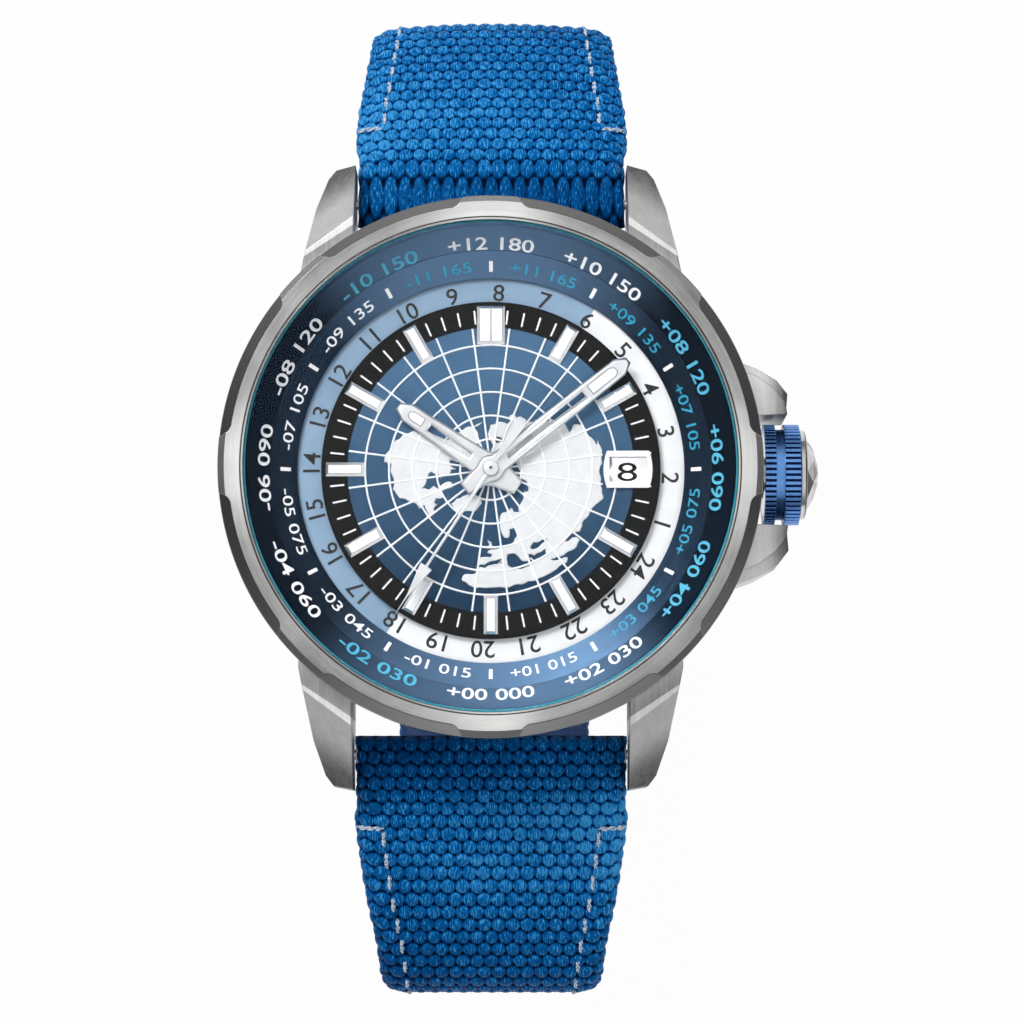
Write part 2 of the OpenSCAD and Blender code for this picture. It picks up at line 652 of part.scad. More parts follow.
// Blue ribbed grip, pressed over the core, with a smooth groove between its two ribbed bands
module crown_grip() {
  first = grip_l * 0.31;
  groove = grip_l * 0.25;
  step = 360 / rib_count;
  outline = [for (k = [0 : rib_count - 1], i = [0 : 3])
    polar(i == 0 || i == 3 ? crown_r - rib_depth : crown_r, step * (k + [0.05, 0.2, 0.7, 0.85][i]))];
  color("royalblue") translate([crown_x, 0, stem_z]) along_x() difference() {
    union() {
      linear_extrude(first) polygon(outline);
      translate([0, 0, first]) cylinder(h = groove, r = crown_r - 0.4);
      translate([0, 0, first + groove]) linear_extrude(grip_l - first - groove - fit) polygon(outline);
    }
    translate([0, 0, -over]) cylinder(h = grip_l + 2 * over, r = crown_core_r + fit);
  }
}

module crown_gasket() {
  seal_r = (crown_bore_r - tube_r) / 2 - fit;
  color("black") translate([crown_x + 0.45, 0, 0]) lathe_x() translate([(crown_bore_r + tube_r) / 2, 0])
    circle(r = seal_r, $fn = 24);
}

square_w = 0.7;

// The stem ends in a square that slides through the clutch and in a pivot in the plate
module stem() {
  square_x = clutch_x - 0.5;
  color("silver") translate([0, 0, stem_z]) {
    translate([square_x, -square_w / 2, -square_w / 2]) cube([pinion_x - 0.3 - square_x, square_w, square_w]);
    translate([square_x - 0.6, 0, 0]) along_x() cylinder(h = 0.7, r = 0.25);
    translate([pinion_x - 0.3, 0, 0]) along_x() cylinder(h = crown_x + 3.2 - pinion_x + 0.3, r = stem_r);
  }
}

module pinion_on_stem(x, l, m, hole_r) {
  translate([x, 0, stem_z]) along_x() difference() {
    gear(pinion_n, m, 0, l);
    translate([0, 0, -over]) cylinder(h = l + 2 * over, r = hole_r);
  }
}

// Winding pinion and sliding clutch, which both turn with the stem
module winding_pinions() {
  hub = 0.2;
  color("silver") {
    pinion_on_stem(pinion_x, pinion_l, pinion_m, stem_r + run);
    difference() {
      pinion_on_stem(clutch_x, clutch_l - run, clutch_m, 0.1);
      translate([clutch_x - over, -square_w / 2 - run, stem_z - square_w / 2 - run])
        cube([clutch_l + 2 * over, square_w + 2 * run, square_w + 2 * run]);
      translate([clutch_x + clutch_l - run - hub, 0, stem_z]) along_x()
        cylinder(h = hub + over, r = stem_r + run);
    }
  }
}

// Dial, hour ring and city ring

module city_ring() {
  in_r = ring_view_r;
  out_r = bezel_in_r - fit;
  color("steelblue") rotate_extrude() polygon([[in_r, flange_z + fit], [out_r, flange_z + fit],
    [out_r, neck_top - fit], [crystal_r, neck_top - fit], [crystal_r, flange_z + flange_h],
    [tier_r, flange_z + flange_lip + tier_rise + tier_step], [tier_r, flange_z + flange_lip + tier_rise],
    [in_r, flange_z + flange_lip]]);
}

// The dial plate stands on two feet and is open over the date
module dial() {
  foot_r = 0.35;
  color("steelblue") {
    translate([0, 0, dial_z]) difference() {
      cylinder(h = dial_t, r = dial_d / 2);
      translate([0, 0, -over]) cylinder(h = dial_t + 2 * over, r = hour_pipe_r + room);
      translate([date_r - date_hole[0] / 2, -date_hole[1] / 2, -over])
        cube([date_hole[0], date_hole[1], dial_t + 2 * over]);
    }
    for (a = [90, 300]) translate([9.6 * cos(a), 9.6 * sin(a), calendar_z + calendar_t + fit])
      cylinder(h = dial_z - calendar_z - calendar_t, r = foot_r);
  }
}

module land(coast) {
  linear_extrude(land_t) polygon(coast);
}

// Raised land and lines of a polar world map, cut away round the middle and under the markers
module world_map() {
  color("white") translate([0, 0, dial_top]) difference() {
    union() {
      difference() {
        union() {
          land(north_america);
          land(eurasia_and_africa);
        }
        for (coast = [bering_sea, middle_sea, eastern_sea, inland_sea])
          translate([0, 0, -over]) linear_extrude(2 * over) polygon(coast);
      }
      for (coast = [greenland, large_island, small_island]) land(coast);
      for (k = [0 : circle_count - 1]) ring(first_circle_r + circle_pitch * k + line_w / 2,
        first_circle_r + circle_pitch * k - line_w / 2, line_t);
      for (k = [0 : spoke_count - 1]) rotate([0, 0, 360 / spoke_count * (k + 0.5)])
        translate([hour_pipe_r, -line_w / 2, 0]) cube([track_r - hour_pipe_r, line_w, line_t]);
    }
    translate([0, 0, -over]) cylinder(h = 2 * over, r = hour_pipe_r + room);
    translate([0, 0, -over]) ring(dial_d, track_r, 2 * over);
    at_hours() translate([dial_d / 2 - marker_inset - marker_l - fit, -marker_w / 2 - fit, -over])
      cube([marker_l, marker_w + 2 * fit, 2 * over]);
    translate([date_r - date_frame_size[0] / 2 - fit, -date_frame_size[1] / 2 - fit, -over])
      cube([date_frame_size[0], date_frame_size[1] + 2 * fit, 2 * over]);
  }
}

// The places of the markers: two side by side at 12, none at 3, where the date is
module at_hours() {
  for (h = [1 : 11]) if (h != 3) rotate([0, 0, 90 - 30 * h]) children();
  for (side = [-1, 1]) rotate([0, 0, 90]) translate([0, side * (marker_w / 2 + fit), 0]) children();
}

module baton(w, l) {
  top_w = 0.6 * w;
  translate([dial_d / 2 - marker_inset - l, 0, dial_top]) rotate([90, 0, 90]) linear_extrude(l)
    polygon([[-w / 2, 0], [w / 2, 0], [w / 2, marker_t / 2], [top_w / 2, marker_t],
      [-top_w / 2, marker_t], [-w / 2, marker_t / 2]]);
}

module hour_markers() {
  color("white") at_hours() baton(marker_w, marker_l);
}

module date_frame() {
  bow_r = 4;
  color("white") translate([date_r, 0, dial_top]) difference() {
    intersection() {
      translate([-date_frame_size[0], -date_frame_size[1] / 2, 0])
        cube([2 * date_frame_size[0], date_frame_size[1], marker_t]);
      translate([bow_r - date_frame_size[0] / 2, 0, 0]) cylinder(h = marker_t, r = bow_r);
      translate([date_frame_size[0] / 2 - bow_r, 0, 0]) cylinder(h = marker_t, r = bow_r);
    }
    translate([-date_hole[0] / 2, -date_hole[1] / 2, -over])
      cube([date_hole[0], date_hole[1], marker_t + 2 * over]);
  }
}

// The ring of 24 hours, with teeth on its inner edge
module hour_ring() {
  root_r = ring_m * (ring_n / 2 + 1.05) + 0.15;
  color("white") {
    translate([0, 0, ring_z]) difference() {
      cylinder(h = ring_gear_t, r = ring_out_r);
      rotate([0, 0, hour_ring_phase]) translate([0, 0, -over]) linear_extrude(ring_gear_t + 2 * over)
        polygon(gear_outline(ring_n, ring_m, ring_m * (ring_n / 2 - 0.8), ring_m * (ring_n / 2 + 1.05),
          -tooth_play));
    }
    translate([0, 0, ring_z + ring_gear_t]) ring(ring_out_r, root_r, ring_t - ring_gear_t);
  }
}

// Plates and bridges

module movement_ring() {
  color("dimgray") difference() {
    translate([0, 0, ledge_z + fit])
      ring(cavity_r - fit, movement_r + fit, ring_z - room - ledge_z - 2 * fit);
    translate([0, 0, stem_z]) along_x() cylinder(h = cavity_r + 2, r = stem_r + 0.3);
  }
}

// Train arbors that run in the bridge above and the plate below
bridge_arbors = [[0, 0], third_at, escape_at];

module main_plate() {
  rim_r = movement_r - 0.55;
  seat_r = date_out_r + 0.1;
  channel_w = clutch_tip + 0.2;
  color("goldenrod") difference() {
    union() {
      translate([0, 0, plate_z]) cylinder(h = plate_t, r = movement_r);
      translate([0, 0, train_z + fit]) ring(movement_r, rim_r, plate_z - train_z);
      translate([0, 0, dial_side_z]) ring(movement_r, seat_r - 0.7, date_ring_z - run - dial_side_z);
      translate([0, 0, dial_side_z]) ring(movement_r, seat_r, calendar_z - fit - dial_side_z);
      for (p = pillar_at) translate([p[0], p[1], train_z + fit]) cylinder(h = train_h, r = 0.8);
      translate([motion_at[0], motion_at[1], dial_side_z])
        cylinder(h = calendar_z - room - dial_side_z, r = post_r);
      translate([date_wheel_at[0], date_wheel_at[1], dial_side_z])
        cylinder(h = calendar_z - fit - dial_side_z, r = post_r);
    }
    // channel for the stem and its pinions
    translate([clutch_x - 0.3, -channel_w, train_z - over])
      cube([movement_r, 2 * channel_w, stem_z + channel_w - train_z + over]);
    translate([pinion_x - 0.1, -pinion_tip - room, train_z - over])
      cube([pinion_l + 0.2, 2 * (pinion_tip + room), train_h + plate_t + 2 * over]);
    translate([clutch_x - 1.5, 0, stem_z]) along_x() cylinder(h = 2, r = 0.25 + run);
    // the middle, jewel seats, the barrel arbor's hole and screw holes
    translate([0, 0, plate_z - over]) cylinder(h = plate_t + 2 * over, r = centre_tube_r + run);
    for (p = [third_at, escape_at, pallet_at, balance_at]) translate([p[0], p[1], plate_z - over])
      cylinder(h = jewel_t + over, r = jewel_r + fit);
    translate([barrel_at[0], barrel_at[1], plate_z - over])
      cylinder(h = plate_t + 2 * over, r = core_r + run);
    for (p = pillar_at) translate([p[0], p[1], train_z - over]) cylinder(h = 1 + over, r = 0.4 + fit);
    translate([cock_foot_at[0], cock_foot_at[1], plate_z - over]) cylinder(h = 0.4 + over, r = 0.4 + fit);
  }
}

module bridge_holes(jewels_at, screws_at) {
  for (p = jewels_at) translate([p[0], p[1], bridge_z - over])
    cylinder(h = bridge_t + 2 * over, r = jewel_r + fit);
  for (p = screws_at) translate([p[0], p[1], bridge_z - over])
    cylinder(h = bridge_t + 2 * over, r = screw_r + fit);
}

bridge_r = movement_r - 0.1;
bridge_gap = 0.2;

// The train bridge covers the upper half and carries the rotor's bearing
module train_bridge() {
  color("silver") difference() {
    intersection() {
      translate([0, 0, bridge_z]) cylinder(h = bridge_t, r = bridge_r);
      translate([0, 0, bridge_z]) linear_extrude(bridge_t) polygon([[-14, 2.4], [-7, 2.4], [-4.7, -1.5],
        [3.2, -1.5], [4.2, 1.7], [14, 1.7], [14, 14], [-14, 14]]);
    }
    bridge_holes(bridge_arbors, [pillar_at[0], pillar_at[1]]);
  }
}

// The barrel bridge covers the lower half, carries the crown wheel and is open over its pinion
module barrel_bridge() {
  color("silver") difference() {
    union() {
      intersection() {
        translate([0, 0, bridge_z]) cylinder(h = bridge_t, r = bridge_r);
        translate([0, 0, bridge_z]) linear_extrude(bridge_t) polygon([[-3.4, -14], [-3.4, -1.5 - bridge_gap],
          [3.4, -1.5 - bridge_gap], [4.4, 1.7 - bridge_gap], [14, 1.7 - bridge_gap], [14, -14]]);
      }
      translate([crown_wheel_at[0], crown_wheel_at[1], winding_z])
        cylinder(h = bridge_z - winding_z, r = core_r);
    }
    translate([pinion_x - 0.1, -1.3, bridge_z - over]) cube([pinion_l + 0.2, 2.6, bridge_t + 2 * over]);
    bridge_holes([], [pillar_at[2], pillar_at[3]]);
    translate([barrel_at[0], barrel_at[1], bridge_z - over])
      cylinder(h = bridge_t + 2 * over, r = core_r + run);
  }
}

// The cock carries the balance's upper bearing and the stud that holds the hairspring's outer end
module balance_cock() {
  stud_r = collet_r + fit + coil_pitch * coil_turns + 0.05 + fit;
  color("silver") difference() {
    union() {
      translate([balance_at[0], balance_at[1], bridge_z + bridge_t / 2]) rotate([0, 0, cock_dir])
        translate([stud_r, -0.2, 0]) cube([0.4, 0.4, hairspring_z + 0.12 - bridge_z - bridge_t / 2]);
      translate([0, 0, bridge_z]) capsule(cock_foot_at, balance_at, 1.5, bridge_t);
      translate([cock_foot_at[0], cock_foot_at[1], bridge_z]) cylinder(h = plate_z - bridge_z - fit, r = 1.5);
    }
    bridge_holes([balance_at], []);
    translate([cock_foot_at[0], cock_foot_at[1], bridge_z - over]) cylinder(h = 4, r = 0.4 + fit);
  }
}

pallet_bridge_z = escape_z - 0.32;
pallet_foot_at = pallet_at + polar(2.9, lever_dir - 90);

module pallet_bridge() {
  color("silver") difference() {
    union() {
      translate([0, 0, pallet_bridge_z]) capsule(pallet_at, pallet_foot_at, 0.6, 0.2);
      translate([pallet_foot_at[0], pallet_foot_at[1], pallet_bridge_z])
        cylinder(h = plate_z - pallet_bridge_z - fit, r = 0.6);
    }
    translate([pallet_at[0], pallet_at[1], pallet_bridge_z - over]) cylinder(h = 3, r = pivot_r + run);
  }
}

// The calendar plate covers the date ring and holds the idlers' posts
module calendar_plate() {
  color("silver") difference() {
    union() {
      translate([0, 0, calendar_z]) cylinder(h = calendar_t, r = movement_r);
      for (p = [inner_at, outer_at]) translate([p[0], p[1], calendar_z])
        cylinder(h = ring_z + ring_gear_t - calendar_z, r = post_r);
    }
    translate([0, 0, calendar_z - over]) cylinder(h = calendar_t + 2 * over, r = hour_pipe_r + run);
    translate([date_in_r - 0.3, -date_hole[1] / 2 - 0.3, calendar_z - over])
      cube([date_out_r - date_in_r, date_hole[1] + 0.6, calendar_t + 2 * over]);
  }
}

module movement_screws() {
  color("midnightblue") for (p = screw_at) translate([p[0], p[1], winding_z - 0.05]) difference() {
    union() {
      cylinder(h = bridge_z - winding_z + 0.05, r = screw_head_r);
      cylinder(h = train_z + (p == cock_foot_at ? train_h + 0.3 : 0.9) - winding_z, r = screw_r);
    }
    translate([-over, -0.08, -over]) cube([2 * over, 0.16, over + 0.12]);
  }
}

module jewel(at, z, hole_r) {
  translate([at[0], at[1], z]) ring(jewel_r, hole_r, jewel_t);
}

// Ruby bearings of the train, the pallets and the balance
module jewels() {
  color("crimson") {
    for (p = [[0, 0], third_at, escape_at, balance_at]) jewel(p, train_z - jewel_t, pivot_r + run);
    for (p = [third_at, escape_at, pallet_at, balance_at]) jewel(p, plate_z, pivot_r + run);
  }
}

// Hands and the pieces that turn with them

// A broad hand with a pointed end, a window near its root and a sunk lume plot
hand_tail = 2.65;
hour_hub_r = 1.4;
minute_hub_r = 1.1;

module broad_hand(l, tail, hub_r, bore_r, window_to) {
  w = hand_w / 2;
  window_from = hub_r + 0.5;
  color("white") difference() {
    linear_extrude(hand_t) union() {
      polygon([[-tail, -0.7 * w], [-tail, 0.7 * w], [0, w * 0.8], [l - 3, w], [l - 0.9, w * 0.9], [l, 0],
        [l - 0.9, -w * 0.9], [l - 3, -w], [0, -w * 0.8]]);
      circle(r = hub_r);
    }
    translate([0, 0, -over]) cylinder(h = hand_t + 2 * over, r = bore_r);
    translate([0, 0, -over]) linear_extrude(hand_t + 2 * over)
      polygon([[window_from, -0.2 * w], [window_to, -0.38 * w], [window_to, 0.38 * w],
        [window_from, 0.2 * w]]);
  }
}

module hour_hand() {
  translate([0, 0, hour_hand_z]) rotate([0, 0, hour_dir])
    broad_hand(hour_hand_l, hand_tail, hour_hub_r, hour_pipe_r + fit, hour_hand_l * 0.65);
}

module minute_hand() {
  translate([0, 0, minute_hand_z]) rotate([0, 0, minute_dir])
    broad_hand(minute_hand_l, hand_tail, minute_hub_r, cannon_r + fit, minute_hand_l * 0.68);
}

module seconds_hand() {
  counterweight_l = 4.5;
  wedge_from = 0.68 * seconds_hand_l;
  wedge_to = 0.86 * seconds_hand_l;
  color("white") translate([0, 0, seconds_hand_z]) rotate([0, 0, seconds_dir]) difference() {
    union() {
      linear_extrude(hand_t * 0.75) union() {
        translate([-counterweight_l, -0.4]) square([counterweight_l - 1.4, 0.8]);
        polygon([[-1.5, -0.14], [seconds_hand_l, -0.05], [seconds_hand_l, 0.05], [-1.5, 0.14]]);
        polygon([[wedge_from, -0.43], [wedge_to, -0.05], [wedge_to, 0.05], [wedge_from, 0.43]]);
      }
      cylinder(h = hand_t * 1.6, r = 0.63);
    }
    translate([0, 0, -over]) cylinder(h = hand_t * 1.2 + over, r = arbor_r + fit / 2);
  }
}

module cannon_pinion() {
  color("silver") difference() {
    union() {
      translate([0, 0, minute_wheel_z]) gear(cannon_n, motion_m, cannon_phase, wheel_t);
      translate([0, 0, minute_wheel_z]) cylinder(h = minute_hand_z + hand_t - minute_wheel_z, r = cannon_r);
    }
    translate([0, 0, dial_side_z]) cylinder(h = 4, r = centre_tube_r + fit / 2);
  }
}

// Centre wheel and pinion on a tube, which the seconds arbor runs through
module centre_wheel() {
  color("goldenrod") difference() {
    union() {
      translate([0, 0, centre_z]) train_wheel(centre_n, centre_m, centre_phase, wheel_t);
      translate([0, 0, plate_z - 0.38]) gear(centre_pinion_n, barrel_m, centre_phase, 0.34);
      translate([0, 0, centre_z - 0.06]) cylinder(h = minute_hand_z - centre_z, r = centre_tube_r);
    }
    translate([0, 0, centre_z - over]) cylinder(h = 10, r = arbor_r + run);
  }
}

module hour_wheel() {
  color("goldenrod") difference() {
    union() {
      translate([0, 0, hour_wheel_z]) gear(hour_n, hour_m, hour_phase, wheel_t);
      translate([0, 0, date_wheel_z]) gear(hour_pinion_n, date_m, hour_phase, wheel_t);
      translate([0, 0, hour_wheel_z]) cylinder(h = hour_hand_z + hand_t - hour_wheel_z, r = hour_pipe_r);
    }
    translate([0, 0, hour_wheel_z - over]) cylinder(h = 10, r = cannon_r + 0.04);
  }
}

module ring_driver() {
  color("goldenrod") translate([0, 0, ring_z]) difference() {
    train_wheel(driver_n, ring_m, hour_phase, ring_gear_t);
    translate([0, 0, -over]) cylinder(h = 3, r = hour_pipe_r + fit);
  }
}

// Train wheels

module fourth_wheel() {
  color("goldenrod") {
    translate([0, 0, fourth_z]) train_wheel(fourth_n, fourth_m, fourth_phase, wheel_t);
    translate([0, 0, third_z - 0.06]) gear(fourth_pinion_n, third_m, fourth_phase, wheel_t + 0.12);
    translate([0, 0, train_z - jewel_t / 2]) cylinder(h = 0.4, r = pivot_r);
    translate([0, 0, train_z + run]) cylinder(h = seconds_hand_z + hand_t * 1.1 - train_z - run, r = arbor_r);
  }
}

module third_wheel() {
  color("goldenrod") translate([third_at[0], third_at[1], 0]) {
    translate([0, 0, third_z]) train_wheel(third_n, third_m, third_phase, wheel_t);
    translate([0, 0, centre_z - 0.06]) gear(third_pinion_n, centre_m, third_phase, wheel_t + 0.12);
    arbor(0.12);
  }
}

module escape_wheel() {
  hook = 360 / escape_n;
  color("silver") translate([escape_at[0], escape_at[1], 0]) {
    translate([0, 0, escape_z]) difference() {
      rotate([0, 0, escape_phase]) linear_extrude(wheel_t) polygon([for (k = [0 : escape_n - 1], i = [0 : 2])
        polar([escape_r - 0.35, escape_r, escape_r][i], hook * k + [-0.32, -0.06, 0.06][i] * hook)]);
      arm_windows(0.6, escape_r - 0.65, 4, 0.25, wheel_t);
    }
    translate([0, 0, fourth_z - 0.04])
      gear(escape_pinion_n, fourth_m, escape_pinion_phase, wheel_t + 0.08, 0.02);
    arbor(0.14);
  }
}

// The lever, with its two stones just outside the escape wheel
module pallet_fork() {
  clear = 0.04;
  stone = [0.22, 0.5];
  lever_w = 0.28;
  color("silver") {
    translate([pallet_at[0], pallet_at[1], escape_z]) {
      cylinder(h = wheel_t, r = 0.18);
      rotate([0, 0, lever_dir]) difference() {
        translate([0, -lever_w / 2, 0]) cube([lever_l - 0.45, lever_w, wheel_t]);
        translate([lever_l - 0.75, -0.09, -over]) cube([over, 0.18, wheel_t + 2 * over]);
      }
    }
    for (side = [-1, 1]) {
      stone_at = escape_at + polar(escape_r + clear + stone[1] / 2, lever_dir + side * half_span);
      translate([0, 0, escape_z])
        capsule(pallet_at, stone_at + polar(0.1, lever_dir + side * half_span), 0.13, wheel_t);
      translate([stone_at[0], stone_at[1], escape_z]) rotate([0, 0, lever_dir + side * half_span])
        translate([-stone[1] / 2, -stone[0] / 2, 0]) cube([stone[1], stone[0], wheel_t]);
    }
    translate([pallet_at[0], pallet_at[1], pallet_bridge_z])
      cylinder(h = plate_z + jewel_t / 2 - pallet_bridge_z, r = pivot_r);
  }
}

// Balance rim on three arms, with its staff, roller and impulse pin
module balance_wheel() {
  rim_w = 0.4;
  color("goldenrod") translate([balance_at[0], balance_at[1], 0]) {
    translate([0, 0, balance_z]) difference() {
      cylinder(h = 0.3, r = balance_r);
      rotate([0, 0, lever_dir]) arm_windows(0.55, balance_r - rim_w, 3, 0.35, 0.4);
    }
    arbor(0.15);
    translate([0, 0, hairspring_z]) cylinder(h = 0.12, r = collet_r);
    translate([0, 0, escape_z - 0.28]) cylinder(h = 0.12, r = 0.7);
    rotate([0, 0, lever_dir + 180]) translate([0.52, 0, escape_z - 0.2]) cylinder(h = 0.14, r = 0.07);
  }
}

// A flat coil with a given pitch, as one unbroken strip
module flat_coil(start_r, pitch, turns, strip, h) {
  steps = 24;
  points = [for (i = [0 : steps * turns]) [start_r + pitch * i / steps, 360 * i / steps]];
  linear_extrude(h) polygon(concat([for (p = points) polar(p[0], p[1])],
    [for (i = [len(points) - 1 : -1 : 0]) polar(points[i][0] + strip, points[i][1])]));
}

module hairspring() {
  color("steelblue") translate([balance_at[0], balance_at[1], hairspring_z]) rotate([0, 0, cock_dir])
    flat_coil(collet_r + fit, coil_pitch, coil_turns, 0.05, 0.12);
}

// The barrel's drum is toothed round its upper edge and holds the mainspring
module barrel() {
  drum_r = barrel_m * barrel_n / 2 - 0.5;
  color("goldenrod") translate([barrel_at[0], barrel_at[1], barrel_z]) difference() {
    union() {
      cylinder(h = barrel_h, r = drum_r);
      translate([0, 0, barrel_h - 0.2]) gear(barrel_n, barrel_m, barrel_phase, 0.2);
    }
    translate([0, 0, 0.1]) cylinder(h = barrel_h - 0.2, r = drum_r - 0.15);
    translate([0, 0, -over]) cylinder(h = barrel_h + 2 * over, r = core_r + run);
  }
}

module mainspring() {
  color("silver") translate([barrel_at[0], barrel_at[1], barrel_z + 0.1 + run])
    flat_coil(core_r + 0.2, 0.36, 10, 0.12, barrel_h - 0.2 - 2 * run);
}

// The ratchet wheel and the barrel arbor below it, which it turns
module ratchet_wheel() {
  color("silver") translate([barrel_at[0], barrel_at[1], 0]) {
    translate([0, 0, winding_z]) gear(ratchet_n, winding_m, ratchet_phase, winding_t);
    translate([0, 0, winding_z]) cylinder(h = plate_z + plate_t * 0.7 - winding_z, r = core_r);
  }
}

// The crown wheel's edge runs over the winding pinion
module crown_wheel() {
  color("silver") translate([crown_wheel_at[0], crown_wheel_at[1], winding_z]) difference() {
    gear(crown_wheel_n, winding_m, crown_wheel_phase, winding_t);
    translate([0, 0, -over]) cylinder(h = 3, r = core_r + run);
  }
}

// Dial side

module minute_wheel() {
  color("goldenrod") translate([motion_at[0], motion_at[1], 0]) difference() {
    union() {
      translate([0, 0, minute_wheel_z]) gear(minute_wheel_n, motion_m, minute_wheel_phase, wheel_t);
      translate([0, 0, minute_wheel_z]) gear(minute_pinion_n, hour_m, minute_wheel_phase, wheel_t * 2 + 0.1);
    }
    translate([0, 0, minute_wheel_z - over]) cylinder(h = 4, r = post_r + run);
  }
}

module idler(at, phase) {
  color("goldenrod") translate([at[0], at[1], ring_z]) difference() {
    gear(idler_n, ring_m, phase, ring_gear_t);
    translate([0, 0, -over]) cylinder(h = 3, r = post_r + run);
  }
}

module inner_idler() {
  idler(inner_at, inner_phase);
}

module outer_idler() {
  idler(outer_at, outer_phase);
}

// The date ring has one pointed tooth for each day
module date_ring() {
  step = 360 / date_tooth_n;
  color("white") translate([0, 0, date_ring_z]) difference() {
    cylinder(h = date_ring_t, r = date_out_r);
    translate([0, 0, -over]) linear_extrude(date_ring_t + 2 * over)
      polygon([for (k = [0 : date_tooth_n - 1], i = [0 : 2])
        polar([date_in_r, date_in_r + 0.4, date_in_r + 0.4][i], step * (k + [0, 0.3, 0.7][i]))]);
  }
}

// Once a day this wheel's finger comes round to the date ring
module date_wheel() {
  finger_r = date_in_r - date_wheel_a - run;
  color("goldenrod") translate([date_wheel_at[0], date_wheel_at[1], 0]) difference() {
    union() {
      translate([0, 0, date_wheel_z]) gear(date_wheel_n, date_m, date_wheel_phase, wheel_t);
      rotate([0, 0, date_wheel_phase]) translate([0, -0.15, date_wheel_z]) cube([finger_r, 0.3, wheel_t]);
    }
    translate([0, 0, date_wheel_z - over]) cylinder(h = 4, r = post_r + run);
  }
}

// The rotor: a hub, a thin half web and a heavy half rim
module rotor() {
  hub_r = 3;
  rim_out = movement_r - 0.55;
  rim_in = rim_out - 1.9;
  arc = 172;
  color("silver") translate([0, 0, rotor_z]) {
    rotate([0, 0, 270 - arc / 2]) rotate_extrude(angle = arc) polygon([[rim_in, 0], [rim_out, 0],
      [rim_out, rim_t], [rim_in, rim_t]]);
    rotate([0, 0, 270 - arc / 2]) rotate_extrude(angle = arc) polygon([[hub_r - 0.2, 0], [rim_in, 0],
      [rim_in, rotor_plate_t], [hub_r - 0.2, rotor_plate_t]]);
    ring(hub_r, 1.5 + run, rotor_plate_t);
  }
}

// The rotor's ball bearing is screwed to the train bridge
module rotor_bearing() {
  color("silver") translate([0, 0, rotor_z - 0.05]) {
    difference() {
      cylinder(h = bridge_z - rotor_z + 0.05 - fit, r = 1.5);
      translate([-1.2, -0.1, -over]) cube([2.4, 0.2, over + 0.1]);
    }
    for (z = [-0.2, rotor_plate_t + 0.15]) translate([0, 0, z]) difference() {
      cylinder(h = 0.15, r = 1.8);
      translate([0, 0, -over]) cylinder(h = 3, r = 1.4);
    }
  }
}

// Strap and buckle

// A band of the strap bent round an axis along X, from one angle to another
module bent(y, z, r, from, to, w, t) {
  translate([0, y, z]) rotate([90, 0, 90]) rotate([0, 0, from]) rotate_extrude(angle = to - from)
    translate([r - t / 2, -w / 2]) square([t, w]);
}

// The first stretch narrows from the lugs to the buckle's width
module strap_top() {
  narrow_y = side_y - strap_t / 2;
  intersection() {
    union() {
      bent(bend_y, bend_z, bend_r, fold_a, 90 - strap_slope, strap_w, strap_t);
      bent(fold_y, fold_z, fold_r, 0, fold_a, strap_w, strap_t);
      translate([-strap_w / 2, bar_y, bar_z]) along_x() cylinder(h = strap_w, r = lug_loop_r);
    }
    translate([0, 0, floor_z]) linear_extrude(bend_r + bar_z - floor_z)
      polygon([[-strap_w / 2, 0], [strap_w / 2, 0], [strap_w / 2, taper_y], [strap_end_w / 2, narrow_y],
        [strap_end_w / 2, narrow_y + bend_r], [-strap_end_w / 2, narrow_y + bend_r],
        [-strap_end_w / 2, narrow_y], [-strap_w / 2, taper_y]]);
  }
}

module strap_side_and_curl() {
  translate([-strap_end_w / 2, side_y - strap_t / 2, curl_z]) cube([strap_end_w, strap_t, side_l]);
  bent(curl_y, curl_z, curl_r, -90, 0, strap_end_w, strap_t);
}

module lug_bar_bore() {
  translate([-strap_w, bar_y, bar_z]) along_x() cylinder(h = 2 * strap_w, r = bar_r + run);
}

module end_bar_bore(play) {
  translate([-strap_end_w, end_bar_y, floor_z]) along_x()
    cylinder(h = 2 * strap_end_w, r = end_bar_r + play);
}

tongue_w = 1.6;

// The 12 o'clock half, which is sewn round the buckle's bar
module strap_12() {
  color("royalblue") difference() {
    union() {
      strap_top();
      strap_side_and_curl();
      translate([-strap_end_w / 2, end_bar_y, floor_z - strap_t / 2])
        cube([strap_end_w, curl_y - end_bar_y, strap_t]);
      translate([-strap_end_w / 2, end_bar_y, floor_z]) along_x() cylinder(h = strap_end_w, r = end_loop_r);
    }
    lug_bar_bore();
    end_bar_bore(run);
    translate([-tongue_w / 2 - 0.3, end_bar_y - 3, floor_z - strap_t]) cube([tongue_w + 0.6, 6, 2 * strap_t]);
  }
}

// Place and heading of a point on the tail, by its distance from the tail's tip
rise_l = tail_r * tail_angle * PI / 180;
function tail_point(s) = s < rise_l ? let(a = (rise_l - s) / tail_r * 180 / PI)
  [tail_y + tail_r * sin(a), floor_z + tail_r * (1 - cos(a)), a] : s < rise_l + tail_flat ?
  [tail_y - (s - rise_l), floor_z, 0] : let(a = (s - rise_l - tail_flat) / curl_r * 180 / PI)
  [-curl_y - curl_r * sin(a), curl_z - curl_r * cos(a), -a];

module on_tail(s) {
  p = tail_point(s);
  translate([0, p[0], p[1]]) rotate([p[2], 0, 0]) children();
}

